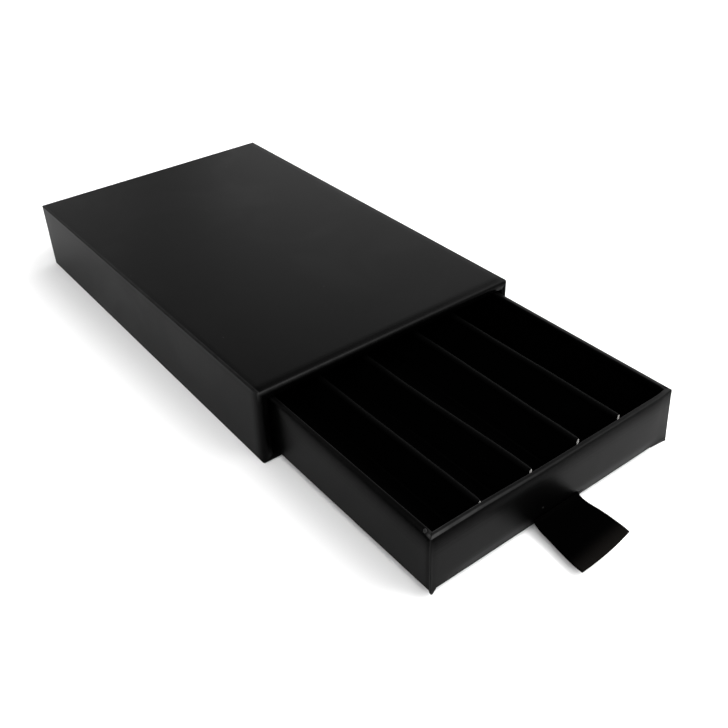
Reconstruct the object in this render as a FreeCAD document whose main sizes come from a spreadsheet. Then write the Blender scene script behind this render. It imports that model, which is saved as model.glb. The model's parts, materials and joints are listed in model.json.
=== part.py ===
import FreeCAD, Part
import os
import re

import Sketcher

# Sliding drawer gift box: a rigid board sleeve, closed at the back, and a tray that slides out of its
# mouth on a ribbon. Both are greyboard panels held at the corners by paper stays and covered with thin
# paper that turns over every visible edge. A folded card insert splits the tray into five channels.
#
# The origin is at the middle of the sleeve's underside. +Z is up, the mouth faces -Y and the tray
# slides out along -Y. Lengths are in millimetres.

SIZES = {
    # sleeve, over the paper
    "sleeve_width": 90.0,
    "sleeve_length": 146.2,
    "sleeve_height": 23.6,
    "sleeve_board": 2.0,
    "sleeve_round": 0.8,
    "mouth_turn_in": 15.0,
    "under_margin": 8.0,
    # sheet materials that both halves share
    "paper": 0.12,
    "tape": 0.08,
    # corner stays
    "stay_leg": 8.0,
    "stay_setback": 2.0,
    "stay_crossing": 12.0,
    # tray, by its clearances inside the sleeve
    "gap_left": 1.4,
    "gap_right": 0.45,
    "gap_under": 0.3,
    "gap_over": 1.05,
    "gap_back": 0.6,
    "front_proud": 1.0,
    "drawer_out": 62.26,
    "tray_board": 1.2,
    "tray_round": 0.4,
    "rim_turn_in": 3.0,
    # paper tips left hanging under the tray's two front corners
    "tip_width": 4.0,
    "tip_drop": 1.2,
    # folded divider insert
    "card": 0.35,
    "fold_gap": 0.2,
    "fold_height": 14.7,
    "insert_side_gap": 0.2,
    "insert_front_gap": 1.2,
    "insert_back_gap": 0.4,
    "first_channel": 14.9,
    "second_channel": 14.8,
    "third_channel": 17.4,
    "fourth_channel": 14.1,
    # ribbon pull
    "ribbon_width": 16.0,
    "ribbon_thickness": 0.4,
    "ribbon_tail": 10.0,
    "ribbon_reach": 16.7,
    "ribbon_lead": 1.5,
    "ribbon_drop": 1.8,
    "ribbon_bend": 10.0,
    "ribbon_level": 5.5,
    "ribbon_side_gap": 0.15,
    "ribbon_top_gap": 0.02,
    "ribbon_slit_gap": 0.05,
}

# Values that follow from the sizes, each a formula of the names above and of one another.
FORMULAS = {
    "lay": "paper + tape",
    "sleeve_wall": "lay + sleeve_board + paper",
    "tray_wall": "lay + tray_board + paper",
    "sleeve_side": "sleeve_width / 2",
    "sleeve_end": "sleeve_length / 2",
    "tray_left": "gap_left + sleeve_wall - sleeve_side",
    "tray_right": "sleeve_side - sleeve_wall - gap_right",
    "tray_bottom": "sleeve_wall + gap_under",
    "tray_top": "sleeve_height - sleeve_wall - gap_over",
    "tray_front": "-sleeve_end - front_proud - drawer_out",
    "tray_back": "sleeve_end - sleeve_wall - gap_back - drawer_out",
    "tray_middle": "(tray_left + tray_right) / 2",
    "tray_deck": "tray_bottom + lay + tray_board",
    "tray_floor": "tray_deck + paper",
    "insert_left": "tray_left + tray_wall + insert_side_gap",
    "insert_right": "tray_right - tray_wall - insert_side_gap",
    "insert_front": "tray_front + tray_wall + insert_front_gap",
    "insert_back": "tray_back - tray_wall - insert_back_gap",
    "fold_width": "2 * card + fold_gap",
    "recess_floor": "tray_deck - ribbon_thickness - ribbon_top_gap",
    "slot_half": "ribbon_width / 2 + ribbon_side_gap",
    "tip_root": "tray_bottom + tray_round + paper",
}

CHANNELS = ("first_channel", "second_channel", "third_channel", "fourth_channel")

# Outer faces of a block, each with its axis and the end of the bounding box that it lies on.
FACES = {
    "left": ("x", "XMin"),
    "right": ("x", "XMax"),
    "front": ("y", "YMin"),
    "back": ("y", "YMax"),
    "bottom": ("z", "ZMin"),
    "top": ("z", "ZMax"),
}

AXIS_X = FreeCAD.Vector(1, 0, 0)
AXIS_Y = FreeCAD.Vector(0, 1, 0)
AXIS_Z = FreeCAD.Vector(0, 0, 1)

TOUCH = 1e-6
CUT_PAST = "1"
ORIGIN_POINT = (-1, 1)

doc = FreeCAD.newDocument("sliding_drawer_gift_box")


# ---------------------------------------------------------------- sizes and formulas


def make_sheet():
    """Put the driving sizes in the spreadsheet, one alias for each."""
    sheet = doc.addObject("Spreadsheet::Sheet", "Sizes")
    for row, (name, value) in enumerate(SIZES.items(), 1):
        sheet.set(f"A{row}", name)
        sheet.set(f"B{row}", str(value))
        sheet.setAlias(f"B{row}", name)
    doc.recompute()


def spelled_out(formula):
    """The formula with every name replaced by its sheet cell or by what it follows from."""

    def cell(match):
        name = match.group()
        if name in FORMULAS:
            return f"({spelled_out(FORMULAS[name])})"
        return f"Sizes.{name}"

    return re.sub(r"[a-z_]+", cell, formula)


def bind(feature, path, formula):
    """Tie one property of a feature to the sizes."""
    feature.setExpression(path, spelled_out(formula))


def inset(span, amount):
    """A span, given by two formulas, drawn in by the same amount at both ends."""
    low, high = span
    return (f"{low} + ({amount})", f"{high} - ({amount})")


def thickness_from(start, amount):
    """The span that starts at one formula and is one amount long."""
    return (start, f"{start} + ({amount})")


def thickness_to(end, amount):
    """The span that ends at one formula and is one amount long."""
    return (f"{end} - ({amount})", end)


# ---------------------------------------------------------------- features


def origin_plane(body, role):
    """One of the body's own origin planes."""
    return next(item for item in body.Origin.OriginFeatures if item.Role == role)


def new_sketch(body, name, role):
    """An empty sketch on an origin plane of its body."""
    sketch = body.newObject("Sketcher::SketchObject", name)
    sketch.AttachmentSupport = [(origin_plane(body, role), "")]
    sketch.MapMode = "FlatFace"
    return sketch


def dimension(sketch, name, constraint, formula):
    """Add a named dimension to a sketch and tie it to the sizes."""
    sketch.renameConstraint(sketch.addConstraint(constraint), name)
    bind(sketch, f"Constraints.{name}", formula)


def closed_outline(sketch, points):
    """Straight lines through the points, end to end and back to the first."""
    corners = [FreeCAD.Vector(x, y, 0) for x, y in points]
    ends = corners[1:] + corners[:1]
    for start, end in zip(corners, ends):
        sketch.addGeometry(Part.LineSegment(start, end), False)
    for line in range(len(corners)):
        following = (line + 1) % len(corners)
        sketch.addConstraint(Sketcher.Constraint("Coincident", line, 2, following, 1))


def rectangle(body, name, x, y):
    """A rectangle on the XY plane between two x formulas and two y formulas."""
    sketch = new_sketch(body, name, "XY_Plane")
    closed_outline(sketch, ((1, 1), (2, 1), (2, 2), (1, 2)))
    for line, direction in enumerate(("Horizontal", "Vertical", "Horizontal", "Vertical")):
        sketch.addConstraint(Sketcher.Constraint(direction, line))
    for axis, label, (low, high) in (("X", "x", x), ("Y", "y", y)):
        if low == "0":
            on_axis = Sketcher.Constraint("PointOnObject", 0, 1, -2 if axis == "X" else -1)
            sketch.addConstraint(on_axis)
        else:
            start = Sketcher.Constraint(f"Distance{axis}", *ORIGIN_POINT, 0, 1, 1.0)
            dimension(sketch, f"{label}_start", start, low)
        length = Sketcher.Constraint(f"Distance{axis}", 0, 1, 1, 2, 1.0)
        dimension(sketch, f"{label}_length", length, f"{high} - ({low})")
    return sketch


def pad(body, name, sketch, length):
    """Raise a sketch along its normal."""
    feature = body.newObject("PartDesign::Pad", name)
    feature.Profile = sketch
    bind(feature, "Length", length)
    doc.recompute()
    return feature


def pocket(body, name, sketch, depth, upward):
    """Cut a sketch out of the body, up or down from the sketch's plane."""
    before = body.Shape.Volume
    feature = body.newObject("PartDesign::Pocket", name)
    feature.Profile = sketch
    feature.Reversed = upward
    bind(feature, "Length", depth)
    doc.recompute()
    if body.Shape.Volume >= before - TOUCH:
        raise RuntimeError(f"{name} cuts nothing")
    return feature


def round_edges(body, name, edges, radius):
    """Round the named edges of the body's last feature."""
    base = body.Tip
    feature = body.newObject("PartDesign::Fillet", name)
    feature.Base = (base, edges)
    bind(feature, "Radius", radius)
    doc.recompute()
    return feature


def lies_on(edge, box, face):
    """Whether an edge lies on one face of a bounding box."""
    axis, limit = FACES[face]
    level = getattr(box, limit)
    return all(abs(getattr(vertex.Point, axis) - level) < TOUCH for vertex in edge.Vertexes)


def outer_edges(shape, faces):
    """Names of the edges that two of the named faces of a block share."""
    names = []
    for number, edge in enumerate(shape.Edges, 1):
        touched = [face for face in faces if lies_on(edge, shape.BoundBox, face)]
        if len(touched) > 1:
            names.append(f"Edge{number}")
    return names


def block(name, x, y, z, rounded=(), radius=""):
    """A sketched and padded box between three spans, rounded where the named faces meet."""
    body = doc.addObject("PartDesign::Body", name)
    width = ("0", f"{x[1]} - ({x[0]})")
    length = ("0", f"{y[1]} - ({y[0]})")
    outline = rectangle(body, f"{name}_outline", width, length)
    solid = pad(body, f"{name}_pad", outline, f"{z[1]} - ({z[0]})")
    if rounded:
        round_edges(body, f"{name}_round", outer_edges(solid.Shape, rounded), radius)
    for axis, (low, _) in zip("xyz", (x, y, z)):
        bind(body, f"Placement.Base.{axis}", low)
    return body


def join(name, *solids):
    """One solid from several that touch or overlap."""
    joined = doc.addObject("Part::MultiFuse", name)
    joined.Shapes = list(solids)
    joined.Refine = True
    return joined


def cut(name, solid, *tools):
    """What is left of a solid when the tools are taken away."""
    left = doc.addObject("Part::Cut", name)
    left.Base = solid
    left.Tool = join(f"{name}_tools", *tools) if len(tools) > 1 else tools[0]
    left.Refine = True
    return left


def corner_stay(name, corner, leg_one, leg_two, length, outer_round):
    """An L of stay tape along an edge: its outer corner starts at the given point, its legs lie along
    two directions, and its length runs square to both."""
    body = doc.addObject("PartDesign::Body", name)
    square = ("0", "stay_leg")
    pad(body, f"{name}_pad", rectangle(body, f"{name}_outline", square, square), length)
    beyond = ("tape", "stay_leg + tape")
    inside = rectangle(body, f"{name}_inside", beyond, beyond)
    pocket(body, f"{name}_pocket", inside, length, upward=True)
    for label, place, radius in (
        ("outer", 0.0, outer_round),
        ("inner", SIZES["tape"], f"{outer_round} - tape"),
    ):
        edges = upright_edge_at(body.Shape, place)
        round_edges(body, f"{name}_{label}_round", edges, radius)
    turn = FreeCAD.Rotation(leg_one, leg_two, leg_one.cross(leg_two), "XYZ")
    body.Placement = FreeCAD.Placement(FreeCAD.Vector(), turn)
    for axis, formula in zip("xyz", corner):
        bind(body, f"Placement.Base.{axis}", formula)
    return body


def upright_edge_at(shape, place):
    """The name, in a list, of the edge along Z at x = y = place."""
    names = []
    for number, edge in enumerate(shape.Edges, 1):
        offsets = [max(abs(v.Point.x - place), abs(v.Point.y - place)) for v in edge.Vertexes]
        if max(offsets) < TOUCH:
            names.append(f"Edge{number}")
    return names


# ---------------------------------------------------------------- sleeve


def sleeve_boards():
    """Five greyboard panels: the back panel caps the tube, and the sides stand between top and base."""
    across = inset(("-sleeve_side", "sleeve_side"), "lay")
    upright = inset(("0", "sleeve_height"), "lay")
    between = inset(upright, "sleeve_board")
    along = ("-sleeve_end + paper", "sleeve_end - lay - sleeve_board")
    cap = thickness_to("sleeve_end - lay", "sleeve_board")
    left = thickness_from(across[0], "sleeve_board")
    right = thickness_to(across[1], "sleeve_board")
    base = thickness_from(upright[0], "sleeve_board")
    lid = thickness_to(upright[1], "sleeve_board")
    core_round = "sleeve_round - lay"
    cap_sides = ("left", "right", "bottom", "top", "back")
    lid_sides = ("left", "right", "front", "top")
    base_sides = ("left", "right", "front", "bottom")
    return [
        block("sleeve_top_board", across, along, lid, lid_sides, core_round),
        block("sleeve_bottom_board", across, along, base, base_sides, core_round),
        block("sleeve_left_board", left, along, between, ("left", "front"), core_round),
        block("sleeve_right_board", right, along, between, ("right", "front"), core_round),
        block("sleeve_back_board", across, cap, upright, cap_sides, core_round),
    ]


def sleeve_wrap():
    """The cover paper: around the outside, over the mouth's edge and a turn-in's depth inside, and a
    margin under the base, where the base sheet closes it."""
    x = ("-sleeve_side", "sleeve_side")
    y = ("-sleeve_end", "sleeve_end")
    z = ("0", "sleeve_height")
    inside_x = inset(x, "sleeve_wall")
    inside_z = inset(z, "sleeve_wall")
    beyond_mouth = (f"-sleeve_end - {CUT_PAST}", "-sleeve_end + mouth_turn_in")
    turned_in = ("-sleeve_end", "-sleeve_end + mouth_turn_in")
    under = (f"-{CUT_PAST}", CUT_PAST)
    outside = block("sleeve_wrap_outside", x, y, z, FACES, "sleeve_round")
    paper_inside = [inset(span, "paper") for span in (x, y, z)]
    void = block("sleeve_wrap_void", *paper_inside, FACES, "sleeve_round - paper")
    mouth = block("sleeve_wrap_mouth", inside_x, beyond_mouth, inside_z)
    base = block("sleeve_wrap_base", inset(x, "under_margin"), inset(y, "under_margin"), under)
    shell = cut("sleeve_wrap_shell", outside, void, mouth, base)
    tube = block(
        "sleeve_wrap_turn", inset(x, "sleeve_wall - paper"), turned_in, inset(z, "sleeve_wall - paper")
    )
    bore = block("sleeve_wrap_bore", inside_x, beyond_mouth, inside_z)
    return join("sleeve_wrap", shell, cut("sleeve_wrap_turn_in", tube, bore))


def sleeve_base_sheet():
    """The sheet that closes the underside between the wrap's margins. The box stands on it."""
    x = inset(("-sleeve_side", "sleeve_side"), "under_margin")
    y = inset(("-sleeve_end", "sleeve_end"), "under_margin")
    return block("sleeve_base_sheet", x, y, ("0", "paper"))


def sleeve_liner():
    """The paper lining of the tube and of its back, behind the wrap's turn-in."""
    x = inset(("-sleeve_side", "sleeve_side"), "sleeve_wall")
    z = inset(("0", "sleeve_height"), "sleeve_wall")
    front = "-sleeve_end + mouth_turn_in"
    back = "sleeve_end - sleeve_wall"
    tube = block("sleeve_liner_tube", inset(x, "-paper"), (front, f"{back} + paper"), inset(z, "-paper"))
    bore = block("sleeve_liner_bore", x, (f"{front} - {CUT_PAST}", back), z)
    return cut("sleeve_liner", tube, bore)


def sleeve_stays():
    """Eight stays: four along the tube's edges and four around the back panel."""
    paper_round = "sleeve_round - paper"
    left, right = inset(("-sleeve_side", "sleeve_side"), "paper")
    low, high = inset(("0", "sleeve_height"), "paper")
    back = "sleeve_end - paper"
    tube_end = "sleeve_end - stay_crossing"
    tube_length = "sleeve_length - stay_crossing - stay_setback"
    upright_length = "sleeve_height - 2 * stay_setback"
    level_length = "sleeve_width - 2 * stay_crossing"
    level_end = "sleeve_side - stay_crossing"
    stays = []
    for name, corner, leg_one, leg_two, length in (
        ("sleeve_stay_bottom_left", (left, tube_end, low), AXIS_X, AXIS_Z, tube_length),
        ("sleeve_stay_bottom_right", (right, tube_end, low), AXIS_Z, -AXIS_X, tube_length),
        ("sleeve_stay_top_right", (right, tube_end, high), -AXIS_X, -AXIS_Z, tube_length),
        ("sleeve_stay_top_left", (left, tube_end, high), -AXIS_Z, AXIS_X, tube_length),
        ("sleeve_stay_back_left", (left, back, "stay_setback"), -AXIS_Y, AXIS_X, upright_length),
        ("sleeve_stay_back_right", (right, back, "stay_setback"), -AXIS_X, -AXIS_Y, upright_length),
        ("sleeve_stay_back_bottom", (level_end, back, low), -AXIS_Y, AXIS_Z, level_length),
        ("sleeve_stay_back_top", (level_end, back, high), -AXIS_Z, -AXIS_Y, level_length),
    ):
        stays.append(corner_stay(name, corner, leg_one, leg_two, length, paper_round))
    return stays


# ---------------------------------------------------------------- drawer


def tray_boards():
    """The base panel and the four wall panels that stand on it, front and back between the sides."""
    across = inset(("tray_left", "tray_right"), "lay")
    along = inset(("tray_front", "tray_back"), "lay")
    between = inset(across, "tray_board")
    base = thickness_from("tray_bottom + lay", "tray_board")
    wall = ("tray_deck", "tray_top - paper")
    core_round = "tray_round - lay"
    left = thickness_from(across[0], "tray_board")
    right = thickness_to(across[1], "tray_board")
    front = thickness_from(along[0], "tray_board")
    back = thickness_to(along[1], "tray_board")
    under_sides = ("left", "right", "front", "back", "bottom")
    floor = block("tray_base_board", across, along, base, under_sides, core_round)
    cut_ribbon_recess(floor)
    return [
        floor,
        block("tray_left_board", left, along, wall, ("left", "front", "back", "top"), core_round),
        block("tray_right_board", right, along, wall, ("right", "front", "back", "top"), core_round),
        block("tray_front_board", between, front, wall, ("front", "top"), core_round),
        block("tray_back_board", between, back, wall, ("back", "top"), core_round),
    ]


def cut_ribbon_recess(floor):
    """Sink a flat recess for the ribbon's tail in the top of the base panel, open at its front."""
    middle = "tray_middle - tray_left - lay"
    x = (f"{middle} - slot_half", f"{middle} + slot_half")
    outline = rectangle(floor, "tray_base_recess_outline", x, ("0", "ribbon_tail"))
    bind(outline, "AttachmentOffset.Base.z", "tray_board")
    pocket(floor, "tray_base_recess", outline, "ribbon_thickness + ribbon_top_gap", upward=False)


def corner_tip(name, root, point, mirrored):
    """A small paper tip below the front edge: straight on its outer side, sloping on its inner side."""
    body = doc.addObject("PartDesign::Body", name)
    sketch = new_sketch(body, f"{name}_outline", "XZ_Plane")
    side = -1 if mirrored else 1
    closed_outline(sketch, ((0, 0), (side, 0), (0, -1)))
    sketch.addConstraint(Sketcher.Constraint("Coincident", 0, 1, *ORIGIN_POINT))
    sketch.addConstraint(Sketcher.Constraint("Horizontal", 0))
    sketch.addConstraint(Sketcher.Constraint("Vertical", 2))
    dimension(sketch, "width", Sketcher.Constraint("Distance", 0, 1.0), "tip_width")
    dimension(sketch, "drop", Sketcher.Constraint("Distance", 2, 1.0), "tip_drop + tip_root - tray_bottom")
    tip = pad(body, f"{name}_pad", sketch, "paper")
    tip.Reversed = True
    for axis, formula in zip("xyz", (root, "tray_front", point)):
        bind(body, f"Placement.Base.{axis}", formula)
    return body


def tray_wrap():
    """The cover paper of the tray: underside, walls, over the rim and a turn-in's depth inside, with a
    slit for the ribbon and a tip below each front corner."""
    x = ("tray_left", "tray_right")
    y = ("tray_front", "tray_back")
    z = ("tray_bottom", "tray_top")
    inside_x = inset(x, "tray_wall")
    inside_y = inset(y, "tray_wall")
    open_top = ("tray_top - rim_turn_in", f"tray_top + {CUT_PAST}")
    outside = block("tray_wrap_outside", x, y, z, FACES, "tray_round")
    paper_inside = [inset(span, "paper") for span in (x, y, z)]
    void = block("tray_wrap_void", *paper_inside, FACES, "tray_round - paper")
    opening = block("tray_wrap_opening", inside_x, inside_y, open_top)
    slit = block(
        "tray_wrap_slit",
        ("tray_middle - slot_half", "tray_middle + slot_half"),
        (f"tray_front - {CUT_PAST}", "tray_front + lay"),
        ("recess_floor - ribbon_slit_gap", "tray_deck + ribbon_slit_gap"),
    )
    shell = cut("tray_wrap_shell", outside, void, opening, slit)
    turned_in = ("tray_top - rim_turn_in", "tray_top")
    ring = block("tray_wrap_turn", inset(x, "tray_wall - paper"), inset(y, "tray_wall - paper"), turned_in)
    bore = block("tray_wrap_bore", inside_x, inside_y, inset(turned_in, f"-{CUT_PAST}"))
    left_tip = corner_tip("tray_wrap_left_tip", "tray_left + tray_round", "tip_root", mirrored=False)
    right_tip = corner_tip("tray_wrap_right_tip", "tray_right - tray_round", "tip_root", mirrored=True)
    return join("tray_wrap", shell, cut("tray_wrap_turn_in", ring, bore), left_tip, right_tip)


def tray_lining():
    """The paper lining of the tray's floor and walls, up to the wrap's turn-in."""
    x = inset(("tray_left", "tray_right"), "tray_wall")
    y = inset(("tray_front", "tray_back"), "tray_wall")
    top = "tray_top - rim_turn_in"
    case = block("tray_lining_outside", inset(x, "-paper"), inset(y, "-paper"), ("tray_deck", top))
    hollow = block("tray_lining_inside", x, y, ("tray_floor", f"{top} + {CUT_PAST}"))
    return cut("tray_lining", case, hollow)


def tray_stays():
    """Four upright stays, one at each corner of the tray."""
    left, right = inset(("tray_left", "tray_right"), "paper")
    front, back = inset(("tray_front", "tray_back"), "paper")
    foot = "tray_bottom + stay_setback"
    length = "tray_top - tray_bottom - 2 * stay_setback"
    stays = []
    for name, x, y, leg_one, leg_two in (
        ("tray_stay_front_left", left, front, AXIS_X, AXIS_Y),
        ("tray_stay_front_right", right, front, AXIS_Y, -AXIS_X),
        ("tray_stay_back_right", right, back, -AXIS_X, -AXIS_Y),
        ("tray_stay_back_left", left, back, -AXIS_Y, AXIS_X),
    ):
        stays.append(corner_stay(name, (x, y, foot), leg_one, leg_two, length, "tray_round - paper"))
    return stays


def fold_starts():
    """Where each upright fold begins, from the insert's left edge."""
    starts = []
    start = ""
    for channel in CHANNELS:
        start = f"{start} + fold_width + {channel}" if start else channel
        starts.append(start)
    return starts


def divider_insert():
    """One card, folded up double four times and left flat between, so that each fold is open below."""
    body = doc.addObject("PartDesign::Body", "divider_insert")
    length = ("0", "insert_back - (insert_front)")
    width = ("0", "insert_right - (insert_left)")
    pad(body, "insert_sheet", rectangle(body, "insert_sheet_outline", width, length), "card")
    for number, start in enumerate(fold_starts(), 1):
        outline = rectangle(body, f"fold_{number}_outline", thickness_from(start, "fold_width"), length)
        pad(body, f"fold_{number}", outline, "fold_height")
    ridges = ridge_edges(body.Shape)
    round_edges(body, "fold_ridges", ridges, "card")
    for number, start in enumerate(fold_starts(), 1):
        slit = thickness_from(f"{start} + card", "fold_gap")
        outline = rectangle(body, f"slit_{number}_outline", slit, length)
        pocket(body, f"slit_{number}", outline, "fold_height - card", upward=True)
    for axis, formula in zip("xyz", ("insert_left", "insert_front", "tray_floor")):
        bind(body, f"Placement.Base.{axis}", formula)
    return body


def ridge_edges(shape):
    """Names of the edges along Y at the top of the folds."""
    box = shape.BoundBox
    names = []
    for number, edge in enumerate(shape.Edges, 1):
        if lies_on(edge, box, "top") and edge.BoundBox.YLength > box.YLength - TOUCH:
            names.append(f"Edge{number}")
    return names


def ribbon_pull():
    """The ribbon: a tail in the base panel's recess, out through the slit, then down to a level end."""
    body = doc.addObject("PartDesign::Body", "ribbon_pull")
    path = ribbon_path(body)
    section = new_sketch(body, "ribbon_section", "XZ_Plane")
    closed_outline(section, ((-2, 0), (2, 0), (2, 1), (-2, 1)))
    for line, direction in enumerate(("Horizontal", "Vertical", "Horizontal", "Vertical")):
        section.addConstraint(Sketcher.Constraint(direction, line))
    section.addConstraint(Sketcher.Constraint("Symmetric", 0, 1, 0, 2, *ORIGIN_POINT))
    dimension(section, "width", Sketcher.Constraint("DistanceX", 0, 1, 0, 2, 4.0), "ribbon_width")
    dimension(section, "thickness", Sketcher.Constraint("DistanceY", 1, 1, 1, 2, 1.0), "ribbon_thickness")
    doc.recompute()
    strip = body.newObject("PartDesign::AdditivePipe", "ribbon_strip")
    strip.Profile = section
    strip.Spine = (path, [])
    for axis, formula in zip("xyz", ("tray_middle", "tray_front + lay + ribbon_tail", "recess_floor")):
        bind(body, f"Placement.Base.{axis}", formula)
    return body


def ribbon_path(body):
    """The ribbon's run in the YZ plane: a level lead, a slope between two equal bends, a level end."""
    sketch = new_sketch(body, "ribbon_path", "YZ_Plane")
    above = Part.Circle(FreeCAD.Vector(-12, -10, 0), AXIS_Z, 10)
    below = Part.Circle(FreeCAD.Vector(-22, 8, 0), AXIS_Z, 10)
    lead, crest, slope, dip, end = (
        sketch.addGeometry(piece, False)
        for piece in (
            Part.LineSegment(FreeCAD.Vector(0, 0, 0), FreeCAD.Vector(-12, 0, 0)),
            Part.ArcOfCircle(above, 1.57, 1.83),
            Part.LineSegment(FreeCAD.Vector(-14.6, -0.3, 0), FreeCAD.Vector(-19.4, -1.6, 0)),
            Part.ArcOfCircle(below, 4.71, 4.97),
            Part.LineSegment(FreeCAD.Vector(-22, -2, 0), FreeCAD.Vector(-27, -2, 0)),
        )
    )
    sketch.addConstraint(Sketcher.Constraint("Coincident", lead, 1, *ORIGIN_POINT))
    sketch.addConstraint(Sketcher.Constraint("Horizontal", lead))
    sketch.addConstraint(Sketcher.Constraint("Horizontal", end))
    sketch.addConstraint(Sketcher.Constraint("Tangent", lead, 2, crest, 1))
    sketch.addConstraint(Sketcher.Constraint("Tangent", crest, 2, slope, 1))
    sketch.addConstraint(Sketcher.Constraint("Tangent", slope, 2, dip, 2))
    sketch.addConstraint(Sketcher.Constraint("Tangent", dip, 1, end, 1))
    sketch.addConstraint(Sketcher.Constraint("Equal", crest, dip))
    lead_length = Sketcher.Constraint("DistanceX", lead, 2, lead, 1, 12.0)
    end_length = Sketcher.Constraint("DistanceX", end, 2, end, 1, 5.0)
    reach = Sketcher.Constraint("DistanceX", end, 2, lead, 1, 27.0)
    drop = Sketcher.Constraint("DistanceY", end, 2, lead, 1, 2.0)
    dimension(sketch, "bend", Sketcher.Constraint("Radius", crest, 10.0), "ribbon_bend")
    dimension(sketch, "lead", lead_length, "ribbon_tail + lay + ribbon_lead")
    dimension(sketch, "level", end_length, "ribbon_level")
    dimension(sketch, "reach", reach, "ribbon_tail + lay + ribbon_reach")
    dimension(sketch, "drop", drop, "ribbon_drop")
    return sketch


# ---------------------------------------------------------------- the whole box


def check(nodes):
    """Stop if any object failed or any sub-part has no valid solid."""
    for item in doc.Objects:
        if {"Invalid", "Error"} & set(item.State):
            raise RuntimeError(f"{item.Label} did not compute")
    for node in nodes:
        if node.Shape.isNull() or not node.Shape.isValid() or len(node.Shape.Solids) != 1:
            raise RuntimeError(f"{node.Label} is not one valid solid")


def main():
    """Build the sleeve and the drawer, then write one file for each sub-part."""
    make_sheet()
    nodes = [*sleeve_boards(), sleeve_wrap(), sleeve_base_sheet(), sleeve_liner(), *sleeve_stays()]
    nodes += [*tray_boards(), tray_wrap(), tray_lining(), *tray_stays(), divider_insert(), ribbon_pull()]
    doc.recompute()
    check(nodes)
    os.makedirs("parts", exist_ok=True)
    for node in nodes:
        node.Shape.exportStep(f"parts/{node.Label}.step")
        box = node.Shape.BoundBox
        print(
            f"{node.Label:26s} x {box.XMin:8.2f} {box.XMax:8.2f}  y {box.YMin:8.2f} {box.YMax:8.2f}"
            f"  z {box.ZMin:6.2f} {box.ZMax:6.2f}  volume {node.Shape.Volume:10.2f}"
        )


main()
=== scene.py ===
import functools
import json
import logging
import math
from collections.abc import Callable, Iterable, Sequence
from dataclasses import dataclass, field
from enum import Enum
from typing import Any

import bpy
import numpy as np
from mathutils import Matrix, Vector


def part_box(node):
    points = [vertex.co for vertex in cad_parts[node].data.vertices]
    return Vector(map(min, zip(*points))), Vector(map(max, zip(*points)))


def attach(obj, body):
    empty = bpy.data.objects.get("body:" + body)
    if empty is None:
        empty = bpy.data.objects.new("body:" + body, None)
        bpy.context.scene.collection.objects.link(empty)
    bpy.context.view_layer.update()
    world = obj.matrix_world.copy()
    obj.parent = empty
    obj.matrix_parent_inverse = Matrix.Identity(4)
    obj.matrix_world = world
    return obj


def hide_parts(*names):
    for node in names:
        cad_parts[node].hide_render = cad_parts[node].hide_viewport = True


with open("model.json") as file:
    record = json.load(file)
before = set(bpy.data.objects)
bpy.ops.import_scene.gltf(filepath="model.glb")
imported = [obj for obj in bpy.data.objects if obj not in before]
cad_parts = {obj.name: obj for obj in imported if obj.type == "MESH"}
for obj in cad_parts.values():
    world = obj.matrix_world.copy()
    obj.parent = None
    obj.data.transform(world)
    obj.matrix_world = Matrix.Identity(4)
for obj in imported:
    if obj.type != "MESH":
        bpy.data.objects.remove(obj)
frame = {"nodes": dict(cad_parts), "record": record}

"""Looks of the sliding drawer gift box: its cover papers, lining, folded card, ribbon and table."""

LOG = logging.getLogger("gift_box")
MM = 0.001

Pair = tuple[float, float]
Triple = tuple[float, float, float]
Faces = list[tuple[int, ...]]
Socket = bpy.types.NodeSocket
Mesh = bpy.types.Mesh
Piece = bpy.types.Object


class Body(Enum):
    """The two halves of the box, which move against each other."""

    SLEEVE = "sleeve"
    DRAWER = "drawer"


class Slot(Enum):
    """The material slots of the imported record."""

    GREYBOARD = "greyboard"
    COVER = "cover_paper"
    LINING = "lining_paper"
    TAPE = "stay_tape"
    CARD = "insert_card"
    RIBBON = "ribbon_satin"


class Side(Enum):
    """The sides of a loop, in the order in which it is walked."""

    LOW = 0
    RIGHT = 1
    HIGH = 2
    LEFT = 3


# ---------------------------------------------------------------- sums


def ease(value: float, low: float, high: float) -> float:
    """A smooth step from 0, at low, to 1, at high."""
    share = min(1.0, max(0.0, (value - low) / (high - low)))
    return share * share * (3 - 2 * share)


def bell(distance: Any, width: float) -> Any:
    """A bell curve over one distance or an array of them: 1 in its middle, and 0.37 at its width."""
    return np.exp(-((distance / width) ** 2))


def spread(start: float, end: float, count: int) -> list[float]:
    """The far ends of equal parts of the way from start to end."""
    return [start + (end - start) * i / count for i in range(1, count + 1)]


def grid(rows: int, size: int, closed: bool = False) -> Faces:
    """The faces between neighbouring rows of points.

    Args:
        rows: how many rows there are.
        size: how many points each row has.
        closed: whether a row's last point is joined to its first.

    Returns:
        The faces, row by row.
    """
    faces: Faces = []
    for row in range(rows - 1):
        for i in range(size if closed else size - 1):
            j = (i + 1) % size
            faces.append((row * size + i, row * size + j, (row + 1) * size + j, (row + 1) * size + i))
    return faces


# ---------------------------------------------------------------- node graphs


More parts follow.
